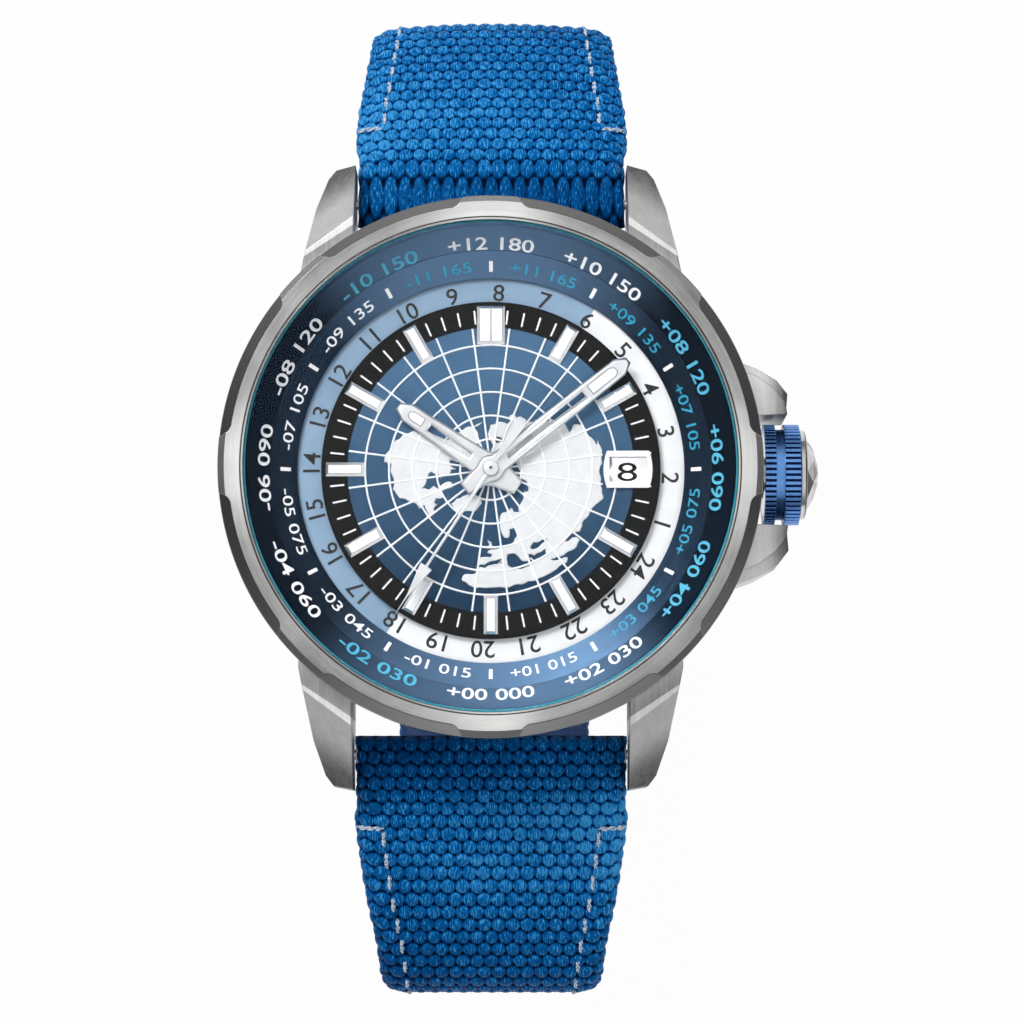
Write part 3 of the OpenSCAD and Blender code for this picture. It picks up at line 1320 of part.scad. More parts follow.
// The 6 o'clock half, with a round tip and the buckle's holes
module strap_6() {
  tip_r = strap_end_w / 2;
  color("royalblue") difference() {
    union() {
      mirror([0, 1, 0]) {
        strap_top();
        strap_side_and_curl();
      }
      translate([-strap_end_w / 2, -curl_y, floor_z - strap_t / 2]) cube([strap_end_w, tail_flat, strap_t]);
      bent(tail_y, floor_z + tail_r, tail_r, -90, -90 + tail_angle, strap_end_w, strap_t);
    }
    mirror([0, 1, 0]) lug_bar_bore();
    on_tail(tip_r) difference() {
      translate([-strap_end_w, 0, -strap_t * 2]) cube([2 * strap_end_w, tip_r * 2, strap_t * 5]);
      translate([0, 0, -strap_t * 3]) cylinder(h = strap_t * 8, r = tip_r);
    }
    for (k = [0 : hole_count - 1]) on_tail(first_hole + hole_pitch * k)
      translate([0, 0, -strap_t]) cylinder(h = 2 * strap_t, r = hole_r);
  }
}

buckle_arm = 1.7;
buckle_in_w = strap_end_w + 0.8;
front_y = end_bar_y - buckle_l;

// The buckle's frame: two arms with ears on the bar, and a front bar with a notch for the tongue
module buckle() {
  arm_t = 1.8;
  front_w = 2.4;
  frame_w = buckle_in_w + 2 * buckle_arm;
  color("silver") difference() {
    union() {
      for (side = [0, 1]) mirror([side, 0, 0]) {
        translate([buckle_in_w / 2, front_y + front_w / 2, floor_z - arm_t / 2])
          cube([buckle_arm, buckle_l - front_w / 2, arm_t]);
        translate([buckle_in_w / 2, end_bar_y, floor_z]) along_x()
          cylinder(h = buckle_arm, r = end_loop_r - room);
      }
      translate([-frame_w / 2, front_y, floor_z - 0.35]) cube([frame_w, front_w, arm_t - 0.45]);
    }
    end_bar_bore(fit);
  }
}

module buckle_bar() {
  color("silver") translate([-buckle_in_w / 2 - buckle_arm + 0.1, end_bar_y, floor_z]) along_x()
    cylinder(h = buckle_in_w + 2 * buckle_arm - 0.2, r = end_bar_r);
}

// The tongue hangs on the bar and rests on the front bar's outer side
module buckle_tongue() {
  tongue_t = 0.7;
  color("silver") difference() {
    union() {
      translate([-tongue_w / 2, end_bar_y, floor_z]) along_x()
        cylinder(h = tongue_w, r = end_loop_r - room);
      translate([-tongue_w / 2, front_y + 0.3, floor_z - end_loop_r + room])
        cube([tongue_w, buckle_l - 0.3, tongue_t]);
    }
    end_bar_bore(run);
  }
}

// A keeper is a flat loop bent with the strap's curl, with room for the tail
module keeper(from) {
  wall = 0.8;
  in_r = curl_r - strap_t / 2 - 0.25;
  out_r = curl_r + strap_t / 2 + 2.3;
  half_w = strap_end_w / 2 + 0.35;
  span = keeper_w / curl_r * 180 / PI;
  difference() {
    bent(curl_y, curl_z, (in_r + out_r) / 2, from, from + span, 2 * (half_w + wall), out_r - in_r + 2 * wall);
    bent(curl_y, curl_z, (in_r + out_r) / 2, from - 5, from + span + 5, 2 * half_w, out_r - in_r);
  }
}

fixed_keeper_a = -56;
sliding_keeper_a = -40;

module fixed_keeper() {
  color("royalblue") keeper(fixed_keeper_a);
}

module sliding_keeper() {
  color("royalblue") keeper(sliding_keeper_a);
}

mid_case();
bezel();
crystal();
crystal_gasket();
case_back();
back_window();
back_gasket();
case_tube();
lug_bars();
city_ring();
dial();
world_map();
hour_markers();
date_frame();
hour_ring();
movement_ring();
main_plate();
train_bridge();
barrel_bridge();
balance_cock();
pallet_bridge();
calendar_plate();
movement_screws();
jewels();
minute_hand();
cannon_pinion();
centre_wheel();
hour_hand();
hour_wheel();
ring_driver();
seconds_hand();
fourth_wheel();
third_wheel();
escape_wheel();
pallet_fork();
balance_wheel();
hairspring();
barrel();
mainspring();
ratchet_wheel();
crown_wheel();
winding_pinions();
minute_wheel();
inner_idler();
outer_idler();
date_ring();
date_wheel();
rotor();
rotor_bearing();
crown();
crown_grip();
crown_gasket();
stem();
strap_12();
strap_6();
buckle();
buckle_tongue();
buckle_bar();
fixed_keeper();
sliding_keeper();
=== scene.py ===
import math

import bmesh
import bpy
import numpy as np
from mathutils import Matrix, Vector


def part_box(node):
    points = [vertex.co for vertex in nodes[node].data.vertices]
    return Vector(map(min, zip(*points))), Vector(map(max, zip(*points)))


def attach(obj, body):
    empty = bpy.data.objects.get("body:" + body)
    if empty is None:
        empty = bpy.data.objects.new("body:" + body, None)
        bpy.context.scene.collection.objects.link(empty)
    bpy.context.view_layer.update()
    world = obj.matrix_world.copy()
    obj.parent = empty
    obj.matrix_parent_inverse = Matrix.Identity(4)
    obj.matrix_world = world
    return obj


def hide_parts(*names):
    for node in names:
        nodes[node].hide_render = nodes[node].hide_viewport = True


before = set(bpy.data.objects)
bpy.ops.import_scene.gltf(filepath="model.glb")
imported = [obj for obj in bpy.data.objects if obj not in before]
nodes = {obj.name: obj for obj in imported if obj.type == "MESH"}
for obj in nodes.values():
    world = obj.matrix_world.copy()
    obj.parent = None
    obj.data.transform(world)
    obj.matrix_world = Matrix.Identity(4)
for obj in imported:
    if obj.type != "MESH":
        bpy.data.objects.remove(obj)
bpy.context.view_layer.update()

scene = bpy.context.scene
mm = 0.001

# The camera stands where the photograph was taken from: nearly straight above the dial and a
# little towards 6 o'clock, with a long lens.
aim = Vector((0.00168, -0.0038, 0.0126))
camera_height = math.radians(84)
camera = bpy.data.objects.new("camera", bpy.data.cameras.new("camera"))
camera.location = aim + 0.3 * Vector((0, -math.cos(camera_height), math.sin(camera_height)))
camera.rotation_euler = (math.pi / 2 - camera_height, 0, 0)
camera.data.lens = 134.5
scene.collection.objects.link(camera)
scene.camera = camera
scene.view_settings.view_transform = "Standard"


# Studio: a pale floor 20 mm below the strap, where the folded buckle and tongue stay clear of it,
# two soft lamps over it, and a white surrounding that steel and glass show too.


def feed(tree, node, inputs):
    """Sets a node's inputs, or links those that are given as sockets"""
    for name, value in inputs.items():
        if isinstance(value, bpy.types.NodeSocket):
            tree.links.new(value, node.inputs[name])
        else:
            node.inputs[name].default_value = value


def put(tree, kind, inputs={}, **settings):
    """A shader node of one kind, with its settings and its inputs"""
    made = tree.nodes.new(kind)
    for name, value in settings.items():
        setattr(made, name, value)
    feed(tree, made, inputs)
    return made


def calc(tree, operation, *values):
    """The result of one sum on numbers or links"""
    return put(tree, "ShaderNodeMath", dict(enumerate(values)), operation=operation).outputs[0]


def turn_into(tree, value, given, wanted=(0.0, 1.0), eased=False):
    """A value in one range turned into its place in another, evenly or eased at both ends"""
    inputs = {"Value": value, "From Min": given[0], "From Max": given[1],
              "To Min": wanted[0], "To Max": wanted[1]}
    kind = "SMOOTHSTEP" if eased else "LINEAR"
    return put(tree, "ShaderNodeMapRange", inputs, interpolation_type=kind).outputs[0]


def parts_of(tree, vector):
    """The X, Y and Z of a vector"""
    return put(tree, "ShaderNodeSeparateXYZ", {0: vector}).outputs


world = bpy.data.worlds.new("studio")
scene.world = world
world.use_nodes = True
sky = world.node_tree
sky.nodes.clear()
rays = put(sky, "ShaderNodeLightPath").outputs
heading = parts_of(sky, put(sky, "ShaderNodeTexCoord").outputs["Generated"])
sideways = calc(sky, "MULTIPLY", calc(sky, "POWER", calc(sky, "ABSOLUTE", heading["X"]), 1.3), 0.9)
overhead = turn_into(sky, heading["Z"], (0.1, 0.92), (0.21, 1.0), eased=True)
shade = calc(sky, "MULTIPLY", overhead, calc(sky, "SUBTRACT", 1.0, sideways))
direct = calc(sky, "LESS_THAN", rays["Diffuse Depth"], 0.5)
seen = calc(sky, "MINIMUM", calc(sky, "ADD", rays["Is Camera Ray"], rays["Is Transmission Ray"]), 1.0)
mirrored = calc(sky, "MULTIPLY", rays["Is Glossy Ray"], shade)
plain_strength = 0.32
plain = calc(sky, "MULTIPLY", calc(sky, "SUBTRACT", 1.0, rays["Is Glossy Ray"]), plain_strength)
level = calc(sky, "MAXIMUM", calc(sky, "MULTIPLY", seen, direct), calc(sky, "MAXIMUM", mirrored, plain))
surround = put(sky, "ShaderNodeBackground", {"Color": (1, 1, 1, 1), "Strength": level})
put(sky, "ShaderNodeOutputWorld", {"Surface": surround.outputs[0]})

floor_height, floor_half, floor_glow = -72.0 * mm, 1.5, 0.97
four_corners = ((-1, -1), (1, -1), (1, 1), (-1, 1))
floor_mesh = bpy.data.meshes.new("floor")
floor_mesh.from_pydata([(x * floor_half, y * floor_half, floor_height) for x, y in four_corners],
                       [], [(0, 1, 2, 3)])
floor = bpy.data.objects.new("floor", floor_mesh)
scene.collection.objects.link(floor)
floor_finish = bpy.data.materials.new("floor")
floor_finish.use_nodes = True
tree = floor_finish.node_tree
tree.nodes.clear()
rays = put(tree, "ShaderNodeLightPath").outputs
paper = put(tree, "ShaderNodeBsdfPrincipled", {"Base Color": (0.9, 0.9, 0.9, 1), "Roughness": 0.8})
glow = put(tree, "ShaderNodeEmission", {"Color": (1, 1, 1, 1), "Strength": 1.0})
seen = calc(tree, "ADD", rays["Is Camera Ray"], rays["Is Glossy Ray"])
seen = calc(tree, "MINIMUM", calc(tree, "ADD", seen, rays["Is Transmission Ray"]), 1.0)
share = calc(tree, "MULTIPLY", seen, floor_glow)
mixed = put(tree, "ShaderNodeMixShader", {0: share, 1: paper.outputs[0], 2: glow.outputs[0]})
put(tree, "ShaderNodeOutputMaterial", {"Surface": mixed.outputs[0]})
floor.data.materials.append(floor_finish)

for name, place, size, power in (("key", (-0.22, 0.30, 0.42), 0.22, 1.6),
                                 ("fill", (0.34, -0.20, 0.40), 0.35, 0.4)):
    lamp = bpy.data.lights.new(name, "AREA")
    lamp.size = size
    lamp.energy = power
    lamp_object = bpy.data.objects.new(name, lamp)
    lamp_object.location = place
    lamp_object.rotation_euler = (-Vector(place)).to_track_quat("-Z", "Y").to_euler()
    scene.collection.objects.link(lamp_object)


# Middle case: milled from one block of steel, brushed along the lugs, with the edges eased by
# polishing.


def shader_group(name, inputs, outputs):
    """A node group with its named inputs and outputs, and the nodes that hold them"""
    group = bpy.data.node_groups.new(name, "ShaderNodeTree")
    for label, kind, value in inputs:
        socket = group.interface.new_socket(label, in_out="INPUT", socket_type=kind)
        if value is not None:
            socket.default_value = value
    for label, kind in outputs:
        group.interface.new_socket(label, in_out="OUTPUT", socket_type=kind)
    return group, group.nodes.new("NodeGroupInput").outputs, group.nodes.new("NodeGroupOutput")


def place_group(tree, group, inputs={}):
    """A group placed in a material, with its inputs set or linked"""
    return put(tree, "ShaderNodeGroup", inputs, node_tree=group).outputs


def place_of(tree):
    """Where a point lies, in the watch's own frame"""
    return put(tree, "ShaderNodeTexCoord").outputs["Object"]


def distance(tree, one, two):
    """How far a point is from an axis, by its two places across that axis"""
    squares = [calc(tree, "MULTIPLY", part, part) for part in (one, two)]
    return calc(tree, "SQRT", calc(tree, "ADD", *squares))


def noise(tree, vector, scale, detail=2.0, roughness=0.5):
    """Noise at a place, at a scale"""
    inputs = {"Vector": vector, "Scale": scale, "Detail": detail, "Roughness": roughness}
    return put(tree, "ShaderNodeTexNoise", inputs).outputs[0]


def relief(tree, height, strength, depth, **more):
    """The normal of a surface with fine relief"""
    inputs = {"Height": height, "Strength": strength, "Distance": depth, **more}
    return put(tree, "ShaderNodeBump", inputs).outputs[0]


# Long fine scratches, straight along the watch or round its middle
brush_marks, given, result = shader_group(
    "brush_marks",
    [("Round", "NodeSocketFloat", 0.0), ("Lines per metre", "NodeSocketFloat", 9000.0),
     ("Depth", "NodeSocketFloat", 0.2), ("Normal", "NodeSocketVector", None)],
    [("Marks", "NodeSocketFloat"), ("Normal", "NodeSocketVector")])
tree = brush_marks
at = parts_of(tree, place_of(tree))
radius = distance(tree, at["X"], at["Y"])
across = calc(tree, "ADD", radius, calc(tree, "MULTIPLY", at["Z"], 0.8))
lengthwise, round_scale = 0.03, 7.0
round_line = put(tree, "ShaderNodeCombineXYZ", {
    0: calc(tree, "MULTIPLY", across, given["Lines per metre"]),
    1: calc(tree, "MULTIPLY", calc(tree, "DIVIDE", at["X"], radius), round_scale),
    2: calc(tree, "MULTIPLY", calc(tree, "DIVIDE", at["Y"], radius), round_scale)}).outputs[0]
straight_line = put(tree, "ShaderNodeCombineXYZ", {
    0: calc(tree, "MULTIPLY", at["X"], given["Lines per metre"]),
    1: calc(tree, "MULTIPLY", at["Y"], calc(tree, "MULTIPLY", given["Lines per metre"], lengthwise)),
    2: calc(tree, "MULTIPLY", at["Z"], given["Lines per metre"])}).outputs[0]
line = put(tree, "ShaderNodeMix", {0: given["Round"], 4: straight_line, 5: round_line},
           data_type="VECTOR").outputs[1]
fine = calc(tree, "MULTIPLY", noise(tree, line, 1.0, 3.0, 0.7), 0.65)
coarse = calc(tree, "MULTIPLY", noise(tree, line, 0.23, 1.0), 0.35)
marks = calc(tree, "ADD", fine, coarse)
feed(tree, result, {"Marks": marks,
                    "Normal": relief(tree, marks, given["Depth"], 0.02 * mm, Normal=given["Normal"])})

# Edges that polishing has rounded, and a mask that marks them
eased_edge, given, result = shader_group(
    "eased_edge", [("Width", "NodeSocketFloat", 0.0001)],
    [("Edge", "NodeSocketFloat"), ("Normal", "NodeSocketVector")])
tree = eased_edge
soft = put(tree, "ShaderNodeBevel", {"Radius": given["Width"]}, samples=4).outputs[0]
flat = put(tree, "ShaderNodeNewGeometry").outputs["Normal"]
same = put(tree, "ShaderNodeVectorMath", {0: soft, 1: flat}, operation="DOT_PRODUCT").outputs["Value"]
edge_gain = 9.0
edge = calc(tree, "MULTIPLY", calc(tree, "SUBTRACT", 1.0, same), edge_gain)
feed(tree, result, {"Edge": calc(tree, "MINIMUM", edge, 1.0), "Normal": soft})

# Slow clouding, for handling marks and uneven finish
clouding, given, result = shader_group(
    "clouding",
    [("Scale", "NodeSocketFloat", 300.0), ("Low", "NodeSocketFloat", 0.0),
     ("High", "NodeSocketFloat", 1.0)],
    [("Value", "NodeSocketFloat")])
tree = clouding
cloud = noise(tree, place_of(tree), given["Scale"], 4.0)
feed(tree, result, {"Value": turn_into(tree, cloud, (0.3, 0.7), (given["Low"], given["High"]))})

# Painted highlight: the fans of light that turned metal shows at its four quarters, painted into its colour:
# 1 there and 0 between
painted_light_fans, given, result = shader_group(
    "painted_light_fans", [("Narrow", "NodeSocketFloat", 0.25)], [("Fan", "NodeSocketFloat")])
tree = painted_light_fans
at = parts_of(tree, place_of(tree))
square = calc(tree, "ADD", calc(tree, "MULTIPLY", at["X"], at["X"]),
              calc(tree, "MULTIPLY", at["Y"], at["Y"]))
corner = calc(tree, "DIVIDE", calc(tree, "MULTIPLY", at["X"], at["Y"]), square)
painted_fan = turn_into(tree, calc(tree, "ABSOLUTE", corner), (given["Narrow"], 0.03), eased=True)
feed(tree, result, {"Fan": painted_fan})


def new_finish(name):
    """An empty material, its tree and its Principled shader"""
    finish = bpy.data.materials.new(name)
    finish.use_nodes = True
    tree = finish.node_tree
    shader = tree.nodes["Principled BSDF"]
    return finish, tree, shader


def blend_colour(tree, share, dark, light):
    """A colour between two, by a mask"""
    inputs = {0: share, 6: dark, 7: light}
    return put(tree, "ShaderNodeMix", inputs, data_type="RGBA").outputs[2]


def brushed_metal(name, dark, light, roughness, turned, lines=9000.0, depth=0.25, edge=0.00008):
    """Brushed metal: dark and light of its marks, brushed straight (0) or turned (1)"""
    finish, tree, shader = new_finish(name)
    eased = place_group(tree, eased_edge, {"Width": edge})
    brushed = place_group(tree, brush_marks, {"Round": turned, "Lines per metre": lines,
                                              "Depth": depth, "Normal": eased["Normal"]})
    clouds = place_group(tree, clouding, {"Scale": 260.0, "Low": -0.12, "High": 0.12})
    share = calc(tree, "ADD", brushed["Marks"], clouds["Value"])
    # Eased edges are lighter: partly polishing wear, partly a painted highlight
    wear_and_edge_highlight = calc(tree, "ADD", share, calc(tree, "MULTIPLY", eased["Edge"], 0.2))
    rough = turn_into(tree, share, (0.2, 0.8), (roughness + 0.08, roughness - 0.08))
    feed(tree, shader, {"Base Color": blend_colour(tree, wear_and_edge_highlight, dark, light), "Roughness": rough,
                        "Metallic": 1.0, "Normal": brushed["Normal"]})
    return finish


def dress(finish, *names):
    """Gives CAD nodes a better material"""
    for name in names:
        for holder in nodes[name].material_slots:
            holder.material = finish


# The lugs are ground in two hollow facets. Their light is painted into the steel's colour: it runs from
# bright to dark twice, from the bezel to the ridge between the facets, and from the ridge to the tip. The
# guards are painted darker towards the outside.
ridge_foot, ridge_lean = 26.96 * mm, 0.66
guard_from, guard_to = 21.4 * mm, 24.0 * mm
case_finish, tree, shader = new_finish("case_steel")
eased = place_group(tree, eased_edge, {"Width": 0.00014})
brushed = place_group(tree, brush_marks, {"Depth": 0.35, "Normal": eased["Normal"]})
clouds = place_group(tree, clouding, {"Scale": 260.0, "Low": -0.06, "High": 0.06})
at = parts_of(tree, place_of(tree))
leaning = calc(tree, "MULTIPLY", calc(tree, "ABSOLUTE", at["X"]), ridge_lean)
ridge = calc(tree, "ADD", calc(tree, "ABSOLUTE", at["Y"]), leaning)
beyond = calc(tree, "SUBTRACT", ridge, ridge_foot)
tip_light = turn_into(tree, beyond, (0.8 * mm, 6.0 * mm), (1.1, 0.05), eased=True)
foot_light = turn_into(tree, beyond, (-3.4 * mm, 0.0), (0.95, 0.25), eased=True)
past_ridge = calc(tree, "GREATER_THAN", beyond, 0.0)
painted_lug_light = put(tree, "ShaderNodeMix", {0: past_ridge, 2: foot_light, 3: tip_light}).outputs[0]
painted_guard_light = turn_into(tree, at["X"], (guard_from, guard_to), (0.8, -0.1), eased=True)
painted_light_here = calc(tree, "MINIMUM", painted_lug_light, painted_guard_light)
share = calc(tree, "ADD", calc(tree, "MULTIPLY", painted_light_here, 0.75),
             calc(tree, "MULTIPLY", brushed["Marks"], 0.4))
share = calc(tree, "ADD", share, calc(tree, "SUBTRACT", clouds["Value"], 0.12))
steel = blend_colour(tree, share, (0.07, 0.07, 0.07, 1), (1.0, 1.0, 0.99, 1))
feed(tree, shader, {"Base Color": steel, "Roughness": 0.45, "Metallic": 1.0,
                    "Normal": brushed["Normal"]})
dress(case_finish, "mid_case", "lug_bars")

# Bezel: a turned ring, brushed round on its flat top, with eight tabs and polished sunk chamfers between
# them. It is pressed on the neck of the case. Its colour holds painted light: bright fans at the four
# quarters of the top, a top that darkens outward, slopes lighter or darker by where they face, and painted
# shadow lines.
bezel_finish, tree, shader = new_finish("bezel_steel")
eased = place_group(tree, eased_edge, {"Width": 0.00007})
brushed = place_group(tree, brush_marks, {"Round": 1.0, "Depth": 0.4, "Normal": eased["Normal"]})
at = parts_of(tree, place_of(tree))
radius = distance(tree, at["X"], at["Y"])
facing = parts_of(tree, put(tree, "ShaderNodeNewGeometry").outputs["Normal"])["Z"]
flat_top = calc(tree, "GREATER_THAN", calc(tree, "ABSOLUTE", facing), 0.97)
lip_r, flat_in_r, flat_out_r = 19.74 * mm, 19.8 * mm, 21.4 * mm
# Painted shade: the flat top darkens towards its outer edge
outward = turn_into(tree, radius, (flat_in_r, flat_out_r), (0.06, -0.12))
lip = calc(tree, "LESS_THAN", radius, lip_r)
upright = calc(tree, "DIVIDE", at["Y"], radius)
upright = calc(tree, "MULTIPLY", upright, upright)
painted_fans = place_group(tree, painted_light_fans, {"Narrow": 0.34})
clouds = place_group(tree, clouding, {"Scale": 260.0, "Low": -0.1, "High": 0.1})
share = calc(tree, "ADD", calc(tree, "MULTIPLY", brushed["Marks"], 0.55),
             calc(tree, "ADD", clouds["Value"], outward))
share = calc(tree, "ADD", share, calc(tree, "MULTIPLY", painted_fans["Fan"], 0.55))
share = calc(tree, "SUBTRACT", share, calc(tree, "MULTIPLY", lip, 0.1))
top_colour = blend_colour(tree, share, (0.15, 0.15, 0.15, 1), (0.80, 0.80, 0.79, 1))
sunk = put(tree, "ShaderNodeAttribute", attribute_name="sunk").outputs["Fac"]
painted_shadow_line = put(tree, "ShaderNodeAttribute", attribute_name="painted_shadow_line").outputs["Fac"]
# Painted light: the slopes of tabs and chamfers are lighter or darker by where they face round the ring
slope_painted_light = calc(tree, "ADD", calc(tree, "MULTIPLY", upright, 0.75),
              calc(tree, "MULTIPLY", brushed["Marks"], 0.3))
slope_painted_light = calc(tree, "ADD", slope_painted_light, clouds["Value"])
tab_colour = blend_colour(tree, slope_painted_light, (0.56, 0.56, 0.56, 1), (0.40, 0.40, 0.40, 1))
sunk_colour = blend_colour(tree, slope_painted_light, (0.42, 0.42, 0.42, 1), (0.60, 0.60, 0.60, 1))
slope_colour = blend_colour(tree, sunk, tab_colour, sunk_colour)
steel_colour = blend_colour(tree, flat_top, slope_colour, top_colour)
# Painted shadow lines along the chamfers' edges and round the outer rim
shadow_lined = calc(tree, "MULTIPLY", painted_shadow_line, 0.92)
polished = calc(tree, "MAXIMUM", calc(tree, "SUBTRACT", 1.0, flat_top), lip)
feed(tree, shader, {"Base Color": blend_colour(tree, shadow_lined, steel_colour, (0.015, 0.015, 0.015, 1)),
                    "Roughness": turn_into(tree, polished, (0.0, 1.0), (0.36, 0.26)),
                    "Metallic": 1.0, "Normal": brushed["Normal"]})

bezel_low, bezel_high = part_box("bezel")
bezel_r, bezel_base, bezel_top = bezel_high[0] / mm, bezel_low[2] / mm, bezel_high[2] / mm
bezel_in_r, seat_r = bezel_r - 2.04, bezel_r - 1.17
seat_z, foot_z, groove_z = bezel_base + 0.9, bezel_base + 0.35, bezel_top - 0.82
tabs, between_tabs = 8, 45.0
sunk_w, sunk_half, sunk_slant = 0.87, 15.0, 1.7
chamfer_starts, tab_slope = 0.38, 0.45 / 0.575
# Each point: radius, height on a tab and in a sunk chamfer, share of the way across the chamfer, and how
# strong a painted shadow line runs there on a tab and in a sunk chamfer
bezel_profile = [(bezel_in_r, seat_z, seat_z, 0, 0, 0)]
for out, down, dark in ((0, 0.06, 0), (0.05, 0.01, 0), (0.19, 0, 0),
                        (0.21, 0.1, 0.8), (0.27, 0.1, 0.8), (0.29, 0, 0)):
    bezel_profile.append((bezel_in_r + out, bezel_top - down, bezel_top - down, 0, dark, dark))
for across in (0, 0.02, 0.09, 0.18, 0.3, 0.38, 0.6, 0.85, 0.955):
    tab_down = max(0, across - chamfer_starts) * tab_slope
    sunk_down = 0.12 + 0.63 * across if across else 0
    rim_shadow_line = 0.4 if across > 0.9 else 0
    bezel_profile.append((bezel_r - sunk_w * (1 - across), bezel_top - tab_down,
                          bezel_top - sunk_down, across, rim_shadow_line, 1 if across == 0.02 else rim_shadow_line))
bezel_profile += [(bezel_r, bezel_top - 0.52, groove_z, 1, 1, 1), (bezel_r, groove_z, groove_z, 1, 0, 1),
                  (bezel_r, foot_z, foot_z, 1, 0, 0), (bezel_r - 0.35, bezel_base, bezel_base, 1, 0, 0),
                  (seat_r, bezel_base, bezel_base, 1, 0, 0), (seat_r, seat_z, seat_z, 1, 0, 0)]


def ring_faces(rings, count, start=0, closed=False, flipped=False):
    """The faces between rings of corners that follow one another, all of the same count"""
    faces = []
    for ring in range(rings if closed else rings - 1):
        here, after = start + ring * count, start + (ring + 1) % rings * count
        for k in range(count):
            on = (k + 1) % count
            face = (here + k, here + on, after + on, after + k)
            faces.append(face[:1] + face[:0:-1] if flipped else face)
    return faces


def weld_and_smooth(mesh, sharp_degrees):
    """Joins corners that meet, turns the faces outward and keeps the sharper edges sharp"""
    build = bmesh.new()
    build.from_mesh(mesh)
    bmesh.ops.remove_doubles(build, verts=build.verts, dist=0.000002)
    bmesh.ops.recalc_face_normals(build, faces=build.faces)
    build.to_mesh(mesh)
    build.free()
    mesh.polygons.foreach_set("use_smooth", [True] * len(mesh.polygons))
    mesh.set_sharp_from_angle(angle=math.radians(sharp_degrees))


def new_piece(name, mesh, finishes, body):
    """An object of its own with its finishes, which rides on a body"""
    made = bpy.data.objects.new(name, mesh)
    scene.collection.objects.link(made)
    for finish in finishes:
        mesh.materials.append(finish)
    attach(made, body)
    return made


def bezel_ring(name):
    """The bezel, station by station: eight sunk chamfers with slanted ends, and eight tabs"""
    in_chamfer = [-1, -0.988] + [k / 20 for k in range(-19, 20)] + [0.988, 1]
    stations = [(True, step) for step in in_chamfer] + [(False, k / 12) for k in range(13)]
    corners, sunk_marks, shadow_line_marks = [], [], []
    for sector in range(tabs):
        for in_sunk, step in stations:
            for radius, tab_z, sunk_z, across, tab_shadow_line, sunk_shadow_line in bezel_profile:
                half = sunk_half + sunk_slant * across - 0.9 * max(0, 1 - across / 0.3) ** 2
                turn = half * step if in_sunk else half + (between_tabs - 2 * half) * step
                turn = math.radians(turn + between_tabs * (sector + 0.5))
                z = sunk_z if in_sunk else tab_z
                corners.append((radius * math.cos(turn) * mm, radius * math.sin(turn) * mm, z * mm))
                sunk_marks.append(float(in_sunk))
                # The slanted ends of each sunk chamfer get a full painted shadow line
                at_end = in_sunk and abs(step) == 1 and 0 < across
                shadow_line_marks.append(1.0 if at_end else float(sunk_shadow_line if in_sunk else tab_shadow_line))
    mesh = bpy.data.meshes.new(name)
    mesh.from_pydata(corners, [], ring_faces(len(stations) * tabs, len(bezel_profile), closed=True))
    mesh.attributes.new("sunk", "FLOAT", "POINT").data.foreach_set("value", sunk_marks)
    mesh.attributes.new("painted_shadow_line", "FLOAT", "POINT").data.foreach_set("value", shadow_line_marks)
    weld_and_smooth(mesh, 18)
    return mesh


bezel = new_piece("bezel_ring", bezel_ring("bezel_ring"), [bezel_finish], "case")
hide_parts("bezel")
dress(brushed_metal("back_steel", (0.40, 0.40, 0.40, 1), (0.72, 0.72, 0.71, 1), 0.32, 1.0, depth=0.3),
      "case_back")

# Crystal and its gasket: a flat plate of coated glass in a teal ring, and the small windows and
# seals of the same kinds.


def clear_glass(name):
    """Coated glass with faint handling marks"""
    finish, tree, shader = new_finish(name)
    smears = place_group(tree, clouding, {"Scale": 180.0, "Low": 0.0, "High": 0.004})
    clouds = place_group(tree, clouding, {"Scale": 90.0})
    tint = blend_colour(tree, clouds["Value"], (0.985, 0.99, 1, 1), (1, 1, 1, 1))
    feed(tree, shader, {"Base Color": tint, "Roughness": smears["Value"], "Transmission Weight": 1.0,
                        "IOR": 1.15, "Specular IOR Level": 0.15})
    return finish


def rubber(name, dark, light, roughness):
    """Moulded rubber or plastic with a fine grain"""
    finish, tree, shader = new_finish(name)
    clouds = place_group(tree, clouding, {"Scale": 2600.0})
    feed(tree, shader, {"Base Color": blend_colour(tree, clouds["Value"], dark, light),
                        "Roughness": roughness, "Normal": relief(tree, clouds["Value"], 0.2, 0.02 * mm)})
    return finish


glass_finish = clear_glass("crystal")
dress(glass_finish, "crystal", "back_window")
nodes["crystal"].visible_shadow = False
nodes["back_window"].visible_shadow = False
dress(rubber("teal_gasket", (0.008, 0.27, 0.40, 1), (0.02, 0.46, 0.60, 1), 0.35), "crystal_gasket")
dress(rubber("dark_gasket", (0.012, 0.012, 0.013, 1), (0.03, 0.03, 0.032, 1), 0.6),
      "back_gasket", "crown_gasket")

# City ring: a turned aluminium ring in two slopes, dyed slate blue and brushed round, with
# printed hour offsets and meridians in white and teal.
finish, tree, shader = new_finish("blue_ring")
tier_foot_r, tier_edge_r, flange_edge_r = 15.4 * mm, 17.5 * mm, 19.3 * mm
tier_foot_z, tier_edge_z, outer_foot_z, flange_top_z = 8.31 * mm, 9.41 * mm, 9.56 * mm, 10.71 * mm
eased = place_group(tree, eased_edge, {"Width": 0.00006})
brushed = place_group(tree, brush_marks, {"Round": 1.0, "Lines per metre": 7000.0, "Depth": 0.3,
                                          "Normal": eased["Normal"]})
at = parts_of(tree, place_of(tree))
radius = distance(tree, at["X"], at["Y"])
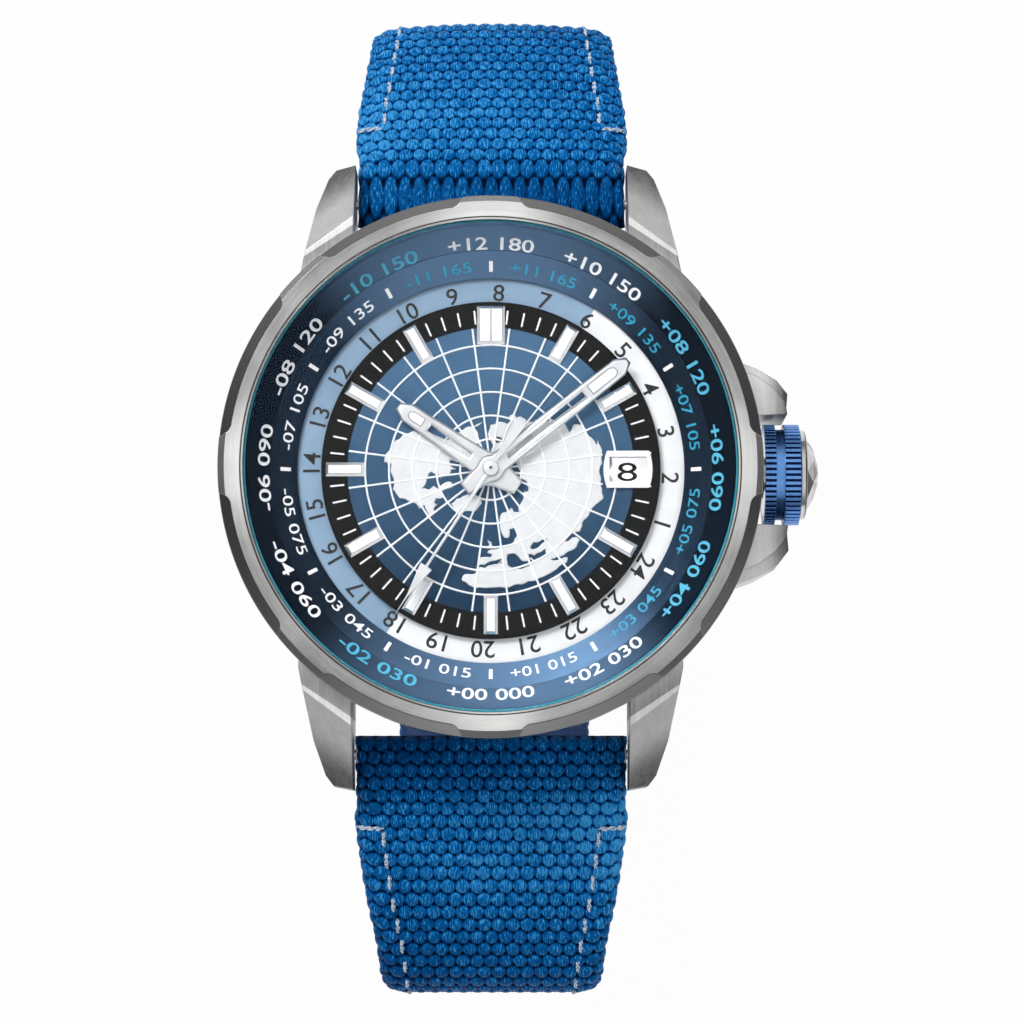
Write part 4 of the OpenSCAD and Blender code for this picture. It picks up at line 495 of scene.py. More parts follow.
# Painted light: the blue is lit towards 12 and 6, a little more below and on the inner slope, and painted
# near black towards 3 and 9
upright = calc(tree, "ABSOLUTE", calc(tree, "DIVIDE", at["Y"], radius))
painted_fan = turn_into(tree, upright, (0.6, 1.12), eased=True)
inner = calc(tree, "MULTIPLY", calc(tree, "LESS_THAN", radius, tier_edge_r), 0.07)
below = calc(tree, "MULTIPLY", calc(tree, "LESS_THAN", at["Y"], 0.0), 0.04)
share = calc(tree, "ADD", calc(tree, "MULTIPLY", painted_fan, calc(tree, "ADD", below, 0.78)), inner)
marks = calc(tree, "MULTIPLY", calc(tree, "SUBTRACT", brushed["Marks"], 0.58), 0.3)
share = calc(tree, "ADD", share, marks)
feed(tree, shader, {"Base Color": blend_colour(tree, share, (0.001, 0.005, 0.013, 1),
                                               (0.120, 0.222, 0.375, 1)),
                    "Metallic": 0.92, "Specular Tint": (0.12, 0.25, 0.45, 1), "Roughness": 0.38,
                    "Normal": brushed["Normal"]})
dress(finish, "city_ring")


def city_ring_height(r):
    """How high the ring's surface is at a distance from the middle"""
    if r < tier_edge_r:
        return tier_foot_z + (tier_edge_z - tier_foot_z) * (r - tier_foot_r) / (tier_edge_r - tier_foot_r)
    return outer_foot_z + (flange_top_z - outer_foot_z) * (r - tier_edge_r) / (flange_edge_r - tier_edge_r)


def mesh_of(curve):
    """The mesh that a curve or a text fills"""
    holder = bpy.data.objects.new(curve.name, curve)
    scene.collection.objects.link(holder)
    bpy.context.view_layer.update()
    evaluated = holder.evaluated_get(bpy.context.evaluated_depsgraph_get())
    mesh = bpy.data.meshes.new_from_object(evaluated)
    bpy.data.objects.remove(holder)
    return mesh


def number_shape(text, height, width=None, stretch=1.2, weight=0.0):
    """Corners and faces of printed figures, centred, of a given height and, if wanted, width"""
    curve = bpy.data.curves.new("figures", "FONT")
    curve.body = text
    curve.offset = weight
    curve.extrude = 0.02
    curve.resolution_u = 4
    mesh = mesh_of(curve)
    corners = np.array([v.co for v in mesh.vertices])
    low, high = corners.min(0), corners.max(0)
    scale = height / (high[1] - low[1])
    corners -= (low + high) / 2
    corners[:, 1] *= scale
    corners[:, 0] *= width / (high[0] - low[0]) if width else scale * stretch
    corners[:, 2] = np.where(corners[:, 2] > 0, 1.0, 0.0)
    return corners, [tuple(p.vertices) for p in mesh.polygons]


def printed(name, jobs, finish, body):
    """One mesh of printed figures; each job is a shape and the function that puts a point in place"""
    corners, faces = [], []
    for (points, sides), place in jobs:
        start = len(corners)
        corners += [place(*p) for p in points]
        faces += [tuple(start + i for i in side) for side in sides]
    mesh = bpy.data.meshes.new(name)
    mesh.from_pydata(corners, [], faces)
    return new_piece(name, mesh, [finish], body)


print_lift = 0.015 * mm


def round_the_dial(clockwise, r, surface, turned_in=False):
    """Puts flat print on a ring: clockwise angle from 12, distance, and the ring's height there"""
    middle = math.radians(90 - clockwise)
    way = -1 if turned_in else 1

    def place(across, up, top):
        reach = r + way * up
        turn = middle - way * across / r
        height = surface(reach) + print_lift * (0.2 + top)
        return Vector((reach * math.cos(turn), reach * math.sin(turn), height))
    return place


def paint(name, dark, light, roughness=0.5):
    """Printed or sprayed paint, slightly uneven"""
    finish, tree, shader = new_finish(name)
    clouds = place_group(tree, clouding, {"Scale": 1500.0})
    feed(tree, shader, {"Base Color": blend_colour(tree, clouds["Value"], dark, light),
                        "Roughness": roughness, "Specular IOR Level": 0.25,
                        "Normal": relief(tree, clouds["Value"], 0.1, 0.01 * mm)})
    return finish


white_print = paint("white_print", (0.86, 0.88, 0.90, 1), (0.92, 0.93, 0.95, 1))
bright_teal = paint("bright_teal", (0.06, 0.38, 0.58, 1), (0.09, 0.46, 0.66, 1))
deep_teal = paint("deep_teal", (0.014, 0.27, 0.44, 1), (0.025, 0.34, 0.52, 1))
outer_print_r, inner_print_r, degrees_an_hour = 17.98 * mm, 16.3 * mm, 15
outer_teal = (330, 60, 90, 120, 210)
inner_teal = (345, 15, 45, 75, 105, 135)
white_jobs, bright_jobs, deep_jobs = [], [], []
for step in range(12):
    angle = 30 * step
    hours = 12 - 2 * step
    label = number_shape(f"{hours:+03d} {abs(hours) * degrees_an_hour:03d}", 0.93 * mm, 6.9 * mm,
                         weight=0.012)
    job = (label, round_the_dial(angle, outer_print_r, city_ring_height, 120 <= angle <= 240))
    (bright_jobs if angle in outer_teal else white_jobs).append(job)
    angle += 15
    hours -= 1
    label = number_shape(f"{hours:+03d} {abs(hours) * degrees_an_hour:03d}", 0.8 * mm, 5.4 * mm,
                         weight=0.005)
    job = (label, round_the_dial(angle, inner_print_r, city_ring_height, 90 < angle < 270))
    (deep_jobs if angle in inner_teal else white_jobs).append(job)
bar = ([(x * 0.15 * mm, y * 0.4 * mm, 1.0) for x, y in four_corners], [(0, 1, 2, 3)])
for step in range(12):
    white_jobs.append((bar, round_the_dial(30 * step, inner_print_r, city_ring_height)))
printed("offsets_white", white_jobs, white_print, "case")
printed("offsets_bright_teal", bright_jobs, bright_teal, "case")
printed("offsets_deep_teal", deep_jobs, deep_teal, "case")

# Ring of 24 hours: a turned ring that goes round once a day, sprayed white for the day half
# and slate blue for the night half, with black figures.
finish, tree, shader = new_finish("hour_ring")
at = parts_of(tree, place_of(tree))
split = math.radians(90 - 32.5)
beside = calc(tree, "SUBTRACT", calc(tree, "MULTIPLY", at["X"], math.sin(split)),
              calc(tree, "MULTIPLY", at["Y"], math.cos(split)))
day = calc(tree, "GREATER_THAN", beside, 0.0)
clouds = place_group(tree, clouding, {"Scale": 500.0})
night_colour = blend_colour(tree, clouds["Value"], (0.165, 0.27, 0.39, 1), (0.21, 0.325, 0.455, 1))
day_colour = blend_colour(tree, clouds["Value"], (0.70, 0.71, 0.72, 1), (0.76, 0.77, 0.78, 1))
brushed = place_group(tree, brush_marks, {"Round": 1.0, "Depth": 0.05})
feed(tree, shader, {"Base Color": blend_colour(tree, day, night_colour, day_colour),
                    "Roughness": 0.45, "Normal": brushed["Normal"]})
dress(finish, "hour_ring")

black_print = paint("black_print", (0.010, 0.010, 0.011, 1), (0.02, 0.02, 0.022, 1), 0.45)
hour_ring_top, hour_print_r, hour_zero = 7.96 * mm, 14.3 * mm, 122.5
hour_jobs = [(number_shape(str(hour), 1.36 * mm, stretch=1.05, weight=0.008),
              round_the_dial(hour_zero - 15 * hour, hour_print_r, lambda r: hour_ring_top))
             for hour in range(1, 25)]
printed("hour_figures", hour_jobs, black_print, "hour_ring_group")

# Dial: a stamped brass disc, lacquered blue with a soft silk finish, and a black printed track
# with white minute strokes round its edge.
finish, tree, shader = new_finish("dial_blue")
dial_top, track_in_r, stroke_r = 8.46 * mm, 11.4 * mm, 12.28 * mm
at = parts_of(tree, place_of(tree))
radius = distance(tree, at["X"], at["Y"])
# Painted light: the blue is lighter towards 12 and darker towards 6
painted_light_upward = turn_into(tree, at["Y"], (-11 * mm, 8 * mm))
clouds = place_group(tree, clouding, {"Scale": 900.0, "Low": -0.06, "High": 0.06})
share = calc(tree, "ADD", painted_light_upward, clouds["Value"])
blue_with_painted_light = blend_colour(tree, share, (0.008, 0.029, 0.064, 1), (0.054, 0.124, 0.220, 1))
track = calc(tree, "GREATER_THAN", radius, track_in_r)
fine = noise(tree, place_of(tree), 14000.0)
feed(tree, shader, {"Base Color": blend_colour(tree, track, blue_with_painted_light, (0.006, 0.006, 0.006, 1)),
                    "Roughness": 0.42, "Specular IOR Level": 0.06,
                    "Normal": relief(tree, fine, 0.08, 0.01 * mm)})
dress(finish, "dial")

stroke = ([(x * 0.065 * mm, y * 0.55 * mm, 1.0) for x, y in four_corners], [(0, 1, 2, 3)])
stroke_jobs = [(stroke, round_the_dial(6 * k, stroke_r, lambda r: dial_top))
               for k in range(60) if k % 5 or k == 15]
printed("minute_strokes", stroke_jobs, white_print, "case")

# Hour markers: applied batons with polished sloping sides and a white filling, two of them
# side by side at 12.


def polished_metal(name, dark, light, roughness=0.14):
    """Polished metal with faint wiping marks and eased edges"""
    finish, tree, shader = new_finish(name)
    eased = place_group(tree, eased_edge, {"Width": 0.00003})
    clouds = place_group(tree, clouding, {"Scale": 700.0})
    rough = turn_into(tree, clouds["Value"], (0.0, 1.0), (roughness, roughness + 0.07))
    feed(tree, shader, {"Base Color": blend_colour(tree, clouds["Value"], dark, light),
                        "Roughness": rough, "Metallic": 1.0, "Normal": eased["Normal"]})
    return finish


marker_steel = polished_metal("marker_steel", (0.72, 0.73, 0.74, 1), (0.82, 0.83, 0.84, 1), 0.2)
lume = paint("white_filling", (0.76, 0.78, 0.79, 1), (0.82, 0.84, 0.85, 1), 0.6)


def stepped_block(outline, levels):
    """Corners and faces of a block: its outline drawn in by an inset at each height"""
    count = len(outline)
    corners = []
    for inset, height in levels:
        for k in range(count):
            before, here, after = (Vector(outline[(k + d) % count]) for d in (-1, 0, 1))
            one = (here - before).normalized()
            two = (after - here).normalized()
            left_one = Vector((-one.y, one.x))
            left_two = Vector((-two.y, two.x))
            lean = (left_one + left_two).normalized()
            point = here + lean * inset / max(lean.dot(left_one), 0.3)
            corners.append((point.x, point.y, height))
    lid = tuple(range((len(levels) - 1) * count, len(levels) * count))
    return corners, ring_faces(len(levels), count) + [lid]


def applied(name, pieces, finish, body):
    """One mesh of solid pieces; each is a shape and the matrix that puts it in place"""
    corners, faces = [], []
    for (points, sides), place in pieces:
        start = len(corners)
        corners += [place @ Vector(p) for p in points]
        faces += [tuple(start + i for i in side) for side in sides]
    mesh = bpy.data.meshes.new(name)
    mesh.from_pydata(corners, [], faces)
    return new_piece(name, mesh, [finish], body)


marker_w, marker_l, marker_outer_r, marker_rim = 1.12 * mm, 3.08 * mm, 13.14 * mm, 0.2 * mm
twin_gap_half = 0.04 * mm
frame_levels = [(0, 0), (0, 0.13 * mm), (0.2 * mm, 0.28 * mm)]
seam_levels = [(0, 0.27 * mm), (0.01 * mm, 0.286 * mm)]
filling_levels = [(0.03 * mm, 0.27 * mm), (0.04 * mm, 0.295 * mm), (0.1 * mm, 0.305 * mm)]


def bar_outline(left, right, inner, outer):
    """The corners of an upright bar"""
    return [(left, inner), (right, inner), (right, outer), (left, outer)]


marker_frames, marker_seams, marker_fillings = [], [], []
for hour in (0, 1, 2, 4, 5, 6, 7, 8, 9, 10, 11):
    turned = (Matrix.Rotation(-math.radians(30 * hour), 4, "Z")
              @ Matrix.Translation((0, marker_outer_r - marker_l, dial_top)))
    half = marker_w if hour == 0 else marker_w / 2
    well_half = half - marker_rim
    wells = [(-well_half, well_half)]
    if hour == 0:
        wells = [(-well_half, -twin_gap_half), (twin_gap_half, well_half)]
    marker_frames.append((stepped_block(bar_outline(-half, half, 0, marker_l), frame_levels), turned))
    for left, right in wells:
        well = bar_outline(left, right, marker_rim, marker_l - marker_rim)
        marker_seams.append((stepped_block(well, seam_levels), turned))
        marker_fillings.append((stepped_block(well, filling_levels), turned))
markers = applied("marker_frames", marker_frames, marker_steel, "case")
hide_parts("hour_markers")
# Painted shade: a thin strip of dark steel round each filling stands for the shade where the filling meets
# the frame
seam_steel = polished_metal("seam_steel", (0.10, 0.10, 0.11, 1), (0.20, 0.20, 0.21, 1), 0.3)
applied("marker_seams", marker_seams, seam_steel, "case")
applied("marker_filling", marker_fillings, lume, "case")

# World map: land pressed up from the dial in low relief, with meridians and circles of latitude
# drawn over land and sea in fine raised lines.
north_america = [
    (-2.2, 3.2), (-1.65, 3.45), (-1, 3.6), (-1.3, 3.3), (-1, 2.9), (-1.05, 2.35), (-0.85, 1.95),
    (-1.25, 2.05), (-1.4, 1.8), (-0.85, 1.3), (-1, 0.6), (-1.65, 0.45), (-2.2, 0.35), (-2.8, 0.6),
    (-3.3, 0.75), (-3.2, 0.35), (-2.75, 0.05), (-3.15, 0), (-3.3, -0.6), (-3.8, -0.45), (-4, -0.75),
    (-4.15, -0.4), (-4.5, -0.35), (-4.7, -0.15), (-4.95, -0.35), (-5.1, -0.9), (-5.55, -1.55),
    (-4.9, -1.6), (-4.5, -1.3), (-4.15, -1.55), (-3.55, -1), (-3.1, -1.05), (-3, -1.4), (-3.55, -1.55),
    (-3.95, -1.75), (-3.8, -2.25), (-4.35, -2.3), (-4.5, -2.65), (-4.25, -2.75), (-4.5, -3.05),
    (-4.45, -3.45), (-4.75, -3.65), (-4.95, -3.6), (-5.25, -2.85), (-5.65, -3.2), (-6, -2.7),
    (-6.65, -2.45), (-7.25, -2.3), (-7.6, -1.8), (-7.8, -1.55), (-7.85, -0.45), (-7.9, 0.45), (-8.3, 0.55),
    (-8.5, 0.6), (-8.45, 1), (-8.15, 1.5), (-7.85, 1.8), (-7.55, 2.35), (-6.95, 2.9), (-6.1, 3.15),
    (-4.9, 2.9), (-3.55, 2.35), (-2.75, 2.65)]
greenland = [
    (-3, -3.05), (-2.6, -3.45), (-2.2, -3.4), (-1.4, -3.4), (-1, -3.05), (-0.7, -2.65), (-1.1, -2.1),
    (-1.55, -1.95), (-2.2, -2.1), (-2.75, -2.35), (-3.15, -2.75)]
eurasia_and_africa = [
    (-0.05, 3.6), (0.5, 3.8), (1.3, 3.65), (1.6, 3.85), (1.4, 4.2), (1.85, 4.45), (2.05, 4), (2.65, 3.6),
    (3.35, 3.8), (3.9, 4.1), (4.55, 3.85), (4.95, 4), (5.35, 4.1), (5.95, 3.6), (6.25, 2.95), (6.6, 3.65),
    (7.1, 3.6), (7.65, 3.05), (7.85, 2.65), (8.2, 2.35), (8.4, 1.95), (8.55, 2.35), (8.75, 1.8), (8.8, 1),
    (8.85, 0.45), (8.65, -0.35), (8.75, -0.9), (8.85, -1.55), (8.95, -2.25), (8.65, -2.55), (8.3, -2.85),
    (7.85, -3.45), (7.4, -4.05), (7.25, -4.6), (7.1, -4.95), (6.75, -5), (6.3, -5.25), (5.9, -5.6),
    (5.95, -5.75), (6.45, -5.45), (6.85, -5.4), (7.1, -5.6), (6.85, -6.1), (6.25, -6.5), (5.85, -6.8),
    (5.25, -6.95), (4.75, -7.15), (4.95, -7.25), (5.65, -7.1), (6.1, -7), (6, -7.45), (5, -8.1),
    (3.85, -8.65), (2.95, -8.9), (1.85, -9.2), (0.5, -9.4), (-0.85, -9.4), (-1.8, -9.2), (-2.3, -8.85),
    (-2.2, -8.45), (-1.55, -8.35), (-1, -8.15), (-1, -7.85), (-0.45, -7.85), (0.25, -7.55), (0.9, -7.45),
    (1.15, -7), (0.9, -7.1), (0.25, -7.3), (-0.5, -7.65), (-0.95, -7.65), (-1, -7.2), (-0.7, -7),
    (-0.05, -7), (0.1, -6.75), (-0.3, -6.6), (0.5, -6.35), (1.2, -6), (1.85, -5.75), (2.05, -5.35),
    (1.9, -4.65), (1.45, -4.8), (1.4, -5.45), (1.1, -5.45), (0.8, -4.95), (0.7, -4.2), (0.9, -3.45),
    (1.35, -3.3), (1.6, -3.05), (1.85, -3.4), (2.25, -3.4), (2.25, -2.9), (2.6, -2.25), (2.65, -1.75),
    (3, -1.7), (2.95, -1.15), (2.4, -0.75), (2.3, -0.05), (2.05, 0.45), (1.85, 0.6), (1.2, 0.6),
    (0.5, 0.6), (0.25, 1), (-0.05, 1.3), (0.15, 1.8), (-0.05, 2.35), (-0.25, 2.9), (-0.15, 3.15)]
bering_sea = [
    (0.5, 2.65), (0.85, 2.55), (0.95, 2.15), (0.5, 2.1), (0.35, 2.35)]
middle_sea = [
    (1.3, -6.8), (1.85, -6.7), (2.4, -7.25), (3, -7.3), (3.2, -7.1), (3.35, -7.45), (2.8, -7.75),
    (1.85, -7.9), (1.35, -7.65), (1.25, -7.15)]
eastern_sea = [
    (3, -6.75), (3.45, -6.9), (4, -6.6), (4.35, -6.35), (4.4, -6.8), (4, -7.1), (3.35, -7.25),
    (3.05, -7.05)]
inland_sea = [
    (3.15, -6.15), (3.4, -5.8), (3.9, -5.75), (4.35, -5.5), (4.5, -5.6), (4, -5.95), (3.45, -6.35),
    (3.2, -6.35)]
large_island = [
    (-0.25, -5.6), (0.05, -5.8), (0.15, -6.15), (0.55, -6.15), (0.35, -6.35), (-0.3, -6.35), (-0.1, -6)]


def coastline(points):
    """A coast through its points, with small bays and capes between them"""
    line = [Vector(point) for point in points]
    for depth in (0.13, 0.09):
        finer = []
        for k, here in enumerate(line):
            after = line[(k + 1) % len(line)]
            ahead = after - here
            wave = math.sin(here.x * 12.9 + here.y * 78.2) * depth
            finer += [here, (here + after) / 2 + Vector((-ahead.y, ahead.x)) * wave]
        line = finer
    eased = []
    for k, here in enumerate(line):
        after = line[(k + 1) % len(line)]
        eased += [tuple(here * 0.75 + after * 0.25), tuple(here * 0.25 + after * 0.75)]
    return eased


def stamped(name, outlines, low, high, turn, finish, body, chamfer=0.2):
    """A flat piece from outlines and their openings in millimetres, with sloping edges"""
    curve = bpy.data.curves.new(name, "CURVE")
    curve.dimensions = "2D"
    curve.fill_mode = "BOTH"
    curve.extrude = 0.02
    curve.bevel_depth = chamfer
    curve.bevel_resolution = 0
    curve.offset = -chamfer
    for outline in outlines:
        spline = curve.splines.new("POLY")
        spline.points.add(len(outline) - 1)
        for point, (x, y) in zip(spline.points, outline):
            point.co = (x, y, 0, 1)
        spline.use_cyclic_u = True
    mesh = mesh_of(curve)
    flat = (high - low) / 2 / (curve.extrude + chamfer)
    mesh.transform(Matrix.Rotation(math.radians(turn), 4, "Z")
                   @ Matrix.Translation((0, 0, (low + high) / 2 * mm))
                   @ Matrix.Diagonal((mm, mm, flat * mm, 1)))
    mesh.materials.clear()
    return new_piece(name, mesh, [finish], body)


def raised_line(path, width, height, closed):
    """Corners and faces of a rounded line along a path of points and their sideways directions"""
    corners, faces = [], []
    for x, y, side_x, side_y in path:
        for share, lift in ((-0.5, 0), (-0.3, 0.8), (0, 1), (0.3, 0.8), (0.5, 0)):
            corners.append((x + side_x * width * share, y + side_y * width * share, lift * height))
    for k in range(len(path) if closed else len(path) - 1):
        for j in range(4):
            a, b = k * 5 + j, (k + 1) % len(path) * 5 + j
            faces.append((a, b, b + 1, a + 1))
    return corners, faces


map_white = paint("map_white", (0.60, 0.61, 0.62, 1), (0.66, 0.67, 0.68, 1), 0.45)
map_outlines = [coastline(coast) for coast in (north_america, greenland, eurasia_and_africa, bering_sea,
                                               middle_sea, eastern_sea, inland_sea, large_island)]
map_land = stamped("map_land", map_outlines, 8.44, 8.52, 0, map_white, "case", chamfer=0.07)
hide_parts("world_map")
line_w, line_h, frame_left, frame_half = 0.165 * mm, 0.13 * mm, 8.95 * mm, 1.48 * mm
pole_r, circle_r, circle_step = 1.3 * mm, 2.44, 1.89
on_dial = Matrix.Translation((0, 0, dial_top))
line_pieces = []
for k in range(5):
    r = (circle_r + circle_step * k) * mm
    gap = math.asin(frame_half / r) if r > frame_left else 0
    path = [(r * math.cos(a), r * math.sin(a), math.cos(a), math.sin(a))
            for a in np.linspace(gap, 2 * math.pi - gap, 121)[:None if gap else -1]]
    line_pieces.append((raised_line(path, line_w, line_h, not gap), on_dial))
for k in range(24):
    turn = math.radians(15 * k + 7.5)
    end = frame_left if k in (0, 23) else track_in_r
    path = [(r * math.cos(turn), r * math.sin(turn), -math.sin(turn), math.cos(turn))
            for r in (pole_r, end)]
    line_pieces.append((raised_line(path, line_w, line_h, False), on_dial))
applied("map_lines", line_pieces, white_print, "case")

# Date: a white disc under the dial, printed with the figures 1 to 31, that steps on once a day. One
# figure shows through the opening at 3, in an applied white frame.
date_white_painted_glow = paint("date_white_painted_glow", (0.84, 0.85, 0.86, 1), (0.90, 0.90, 0.91, 1), 0.45)
# The disc glows a little: painted light for a white disc that lies in shade deep under the dial
feed(date_white_painted_glow.node_tree, date_white_painted_glow.node_tree.nodes["Principled BSDF"],
     {"Emission Color": (1, 1, 1, 1), "Emission Strength": 0.75})
dress(date_white_painted_glow, "date_ring")
dress(paint("date_frame_white", (0.74, 0.75, 0.76, 1), (0.84, 0.85, 0.86, 1), 0.25), "date_frame")
date_top, date_print_r, date_shown = 6.82 * mm, 10.9 * mm, 8
date_jobs = []
for day_number in range(1, 32):
    turn = math.radians(360 / 31 * (date_shown - day_number))

    def on_date_disc(across, up, top, turn=turn):
        """Puts flat print on the disc, upright when it stands in the window at 3"""
        x, y = date_print_r + across, up
        return Vector((x * math.cos(turn) - y * math.sin(turn), x * math.sin(turn) + y * math.cos(turn),
                       date_top + print_lift * (0.2 + top)))
    shape = number_shape(str(day_number), 1.5 * mm, stretch=1.7 if day_number < 10 else 0.95)
    date_jobs.append((shape, on_date_disc))
printed("date_figures", date_jobs, black_print, "date_ring_group")

# Hands: stamped from satin white metal with sloping edges, a cut-out and a white filling, and pushed
# on their pipes. They show eight and a half minutes past ten. The seconds hand's cap covers the post.
hand_finish = polished_metal("hand_metal", (0.62, 0.63, 0.64, 1), (0.70, 0.71, 0.72, 1), 0.28)


def broad_outline(length, tail, half, hub):
    """The outline of an hour or minute hand: a bar with a six-sided tip, a hub and a broad tail"""
    upper = [(-tail, 0.72 * half)]
    for k in range(9):
        a = math.radians(130 - 80 * k / 8)
        upper.append((hub * math.cos(a), max(hub * math.sin(a), 0.74 * half)))
    upper += [(length - 3.0, half), (length - 0.95, 0.95 * half), (length - 0.05, 0.35 * half)]
    return upper + [(x, -y) for x, y in reversed(upper)]


hours_shown, minutes_shown, seconds_shown = 10, 8.6, 35.5
hour_turn = 90 - 30 * (hours_shown + minutes_shown / 60)
minute_turn = 90 - 6 * minutes_shown
seconds_turn = 90 - 6 * seconds_shown
hour_slot = [(1.95, -0.2), (5.9, -0.32), (5.9, 0.32), (1.95, 0.2)]
minute_slot = [(1.7, -0.18), (9.5, -0.32), (9.5, 0.32), (1.7, 0.18)]
hour_shape = [broad_outline(9.0, 2.65, 0.84, 1.4), hour_slot]
hour_hand = stamped("hour_hand_shape", hour_shape, 8.81, 9.01, hour_turn,
                    hand_finish, "hour_group")
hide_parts("hour_hand")
minute_shape = [broad_outline(14.0, 2.65, 0.82, 1.1), minute_slot]
minute_hand = stamped("minute_hand_shape", minute_shape, 9.16, 9.36, minute_turn,
                      hand_finish, "minute_group")
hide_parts("minute_hand")
needle = [(-4.75, 0.28), (-4.45, 0.5), (-1.2, 0.22), (-1.0, 0.13), (9.3, 0.11), (9.35, 0.54),
          (12.1, 0.07), (13.8, 0.035)]
seconds_hand = stamped("seconds_hand_shape", [needle + [(x, -y) for x, y in reversed(needle)]],
                       9.56, 9.71, seconds_turn, hand_finish, "seconds_group",
                       chamfer=0.035)
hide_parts("seconds_hand")
filling_steps = [(0, 0), (0.02 * mm, 0.03 * mm), (0.06 * mm, 0.04 * mm)]
seam_steps = [(-0.05 * mm, 0), (-0.04 * mm, 0.018 * mm)]
for name, turn, ground, body, start, end, half in (
        ("hour_filling", hour_turn, 9.0, "hour_group", 6.55, 7.85, 0.34),
        ("minute_filling", minute_turn, 9.35, "minute_group", 10.1, 12.7, 0.4)):
    patch = [(start * mm, -half * mm), ((end - 0.35) * mm, -half * mm), (end * mm, -half * 0.45 * mm),
             (end * mm, half * 0.45 * mm), ((end - 0.35) * mm, half * mm), (start * mm, half * mm)]
    place = Matrix.Rotation(math.radians(turn), 4, "Z") @ Matrix.Translation((0, 0, ground * mm))
    applied(name, [(stepped_block(patch, filling_steps), place)], lume, body)
    # Painted shade: a dark rim round each filling
    applied(name + "_seam", [(stepped_block(patch, seam_steps), place)],
            seam_steel, body)

cap_profile = [(0.63, 9.60), (0.63, 9.80), (0.58, 9.86), (0.12, 9.88), (0.10, 9.78), (0.0, 9.78)]
cap_count = 40
round_cap = [2 * math.pi * k / cap_count for k in range(cap_count)]
cap = ([(r * mm * math.cos(turn), r * mm * math.sin(turn), z * mm)
        for r, z in cap_profile for turn in round_cap], ring_faces(len(cap_profile), cap_count))
applied("seconds_cap", [(cap, Matrix.Identity(4))], hand_finish, "seconds_group")

# Crown: a steel core and flange with a dome ground in facets like a cut stone, and a knurled
# ring of blue anodised aluminium pressed round the core.
crown_low, crown_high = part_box("crown")
crown_foot, crown_end = crown_low[0] / mm, crown_high[0] / mm
crown_z = (crown_low[2] + crown_high[2]) / 2 / mm
crown_turned = [(2.1, 0), (2.1, 1.9), (0, 1.9), (0, 3.3), (2.87, 3.3), (2.87, 3.55), (2.93, 3.6),
                (3.22, 3.6), (3.33, 3.5), (3.4, 3.3), (3.4, 0)]
crown_count, facets, flange_ring = 72, 8, 6


def crown_point(along, radius, turn):
    """A point of the crown, by its place along its axis, its radius and its angle"""
    return ((crown_foot + along) * mm, radius * math.cos(turn) * mm,
            (crown_z + radius * math.sin(turn)) * mm)


body_corners = [crown_point(along, radius, 2 * math.pi * k / crown_count)
                for along, radius in crown_turned for k in range(crown_count)]
body_faces = ring_faces(len(crown_turned), crown_count)
dome_rings = [(3.3, 3.02, 0), (3.42, 3.0, 0), (3.95, 2.25, 0.5), (crown_end - crown_foot - 0.03, 0.95, 0)]
dome_corners = [crown_point(along, radius, 2 * math.pi * (k + shift) / facets)
                for along, radius, shift in dome_rings for k in range(facets)]
dome_faces = [tuple(range(facets)), tuple(range(3 * facets, 4 * facets))]
one, two, three = facets, 2 * facets, 3 * facets
for k in range(facets):
    on = (k + 1) % facets
    dome_faces += [(k, on, one + on, one + k), (one + k, one + on, two + k), (one + on, two + on, two + k),
                   (two + k, two + on, three + on), (two + k, three + on, three + k)]
crown_finish = brushed_metal("crown_steel", (0.34, 0.34, 0.34, 1), (0.90, 0.90, 0.89, 1), 0.16, 0.0,
                             depth=0.12, edge=0.00006)
crown_body = applied("crown_body", [((body_corners, body_faces), Matrix.Identity(4)),
                                    ((dome_corners, dome_faces), Matrix.Identity(4))],
                     crown_finish, "crown_group")
crown_mesh = crown_body.data
# Painted shade: darker copies of polished steel for some facets of the dome and for the chamfer past the
# flange
for name, dark, light in (("crown_facets_painted_dark", 0.07, 0.15), ("crown_facets_painted_grey", 0.26, 0.40)):
    crown_mesh.materials.append(polished_metal(name, (dark, dark, dark, 1), (light, light, light, 1)))
# The facets' finishes, lit and shaded copies of steel: 0 is the crown's own steel, 1 is painted dark and 2
# is painted grey
crown_painted_shades = [int(ring > flange_ring) for ring in range(len(crown_turned) - 1) for k in range(crown_count)]
crown_painted_shades += [1, 1]
for k in range(facets):
    crown_painted_shades += [0, 0, 2, 1, 2] if k % 2 else [0, 1, 0, 2, 0]
crown_mesh.polygons.foreach_set("material_index", crown_painted_shades)
weld_and_smooth(crown_mesh, 14)
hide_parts("crown")

grip_finish, tree, shader = new_finish("grip_blue")
at = parts_of(tree, place_of(tree))
risen = calc(tree, "SUBTRACT", at["Z"], crown_z * mm)
radius = distance(tree, at["Y"], risen)
groove_r, rib_foot_r, rib_top_r = 3.7 * mm, 3.88 * mm, 4.03 * mm
# Painted light: the ribs lighten towards their tops, with painted shade in the gaps between them
painted_light_on_rib = turn_into(tree, radius, (rib_foot_r, rib_top_r))
in_groove = calc(tree, "LESS_THAN", radius, groove_r)
eased = place_group(tree, eased_edge, {"Width": 0.00005})
brushed = place_group(tree, brush_marks, {"Depth": 0.1, "Normal": eased["Normal"]})
share = calc(tree, "MULTIPLY", calc(tree, "MAXIMUM", painted_light_on_rib, in_groove),
             calc(tree, "ADD", brushed["Marks"], 0.3))
# Painted highlight along the eased edges
share = calc(tree, "ADD", share, calc(tree, "MULTIPLY", eased["Edge"], 0.3))
feed(tree, shader, {"Base Color": blend_colour(tree, share, (0.002, 0.010, 0.060, 1),
                                               (0.17, 0.40, 0.88, 1)),
                    "Metallic": 0.9, "Roughness": 0.27, "Normal": brushed["Normal"]})
dress(grip_finish, "crown_grip")

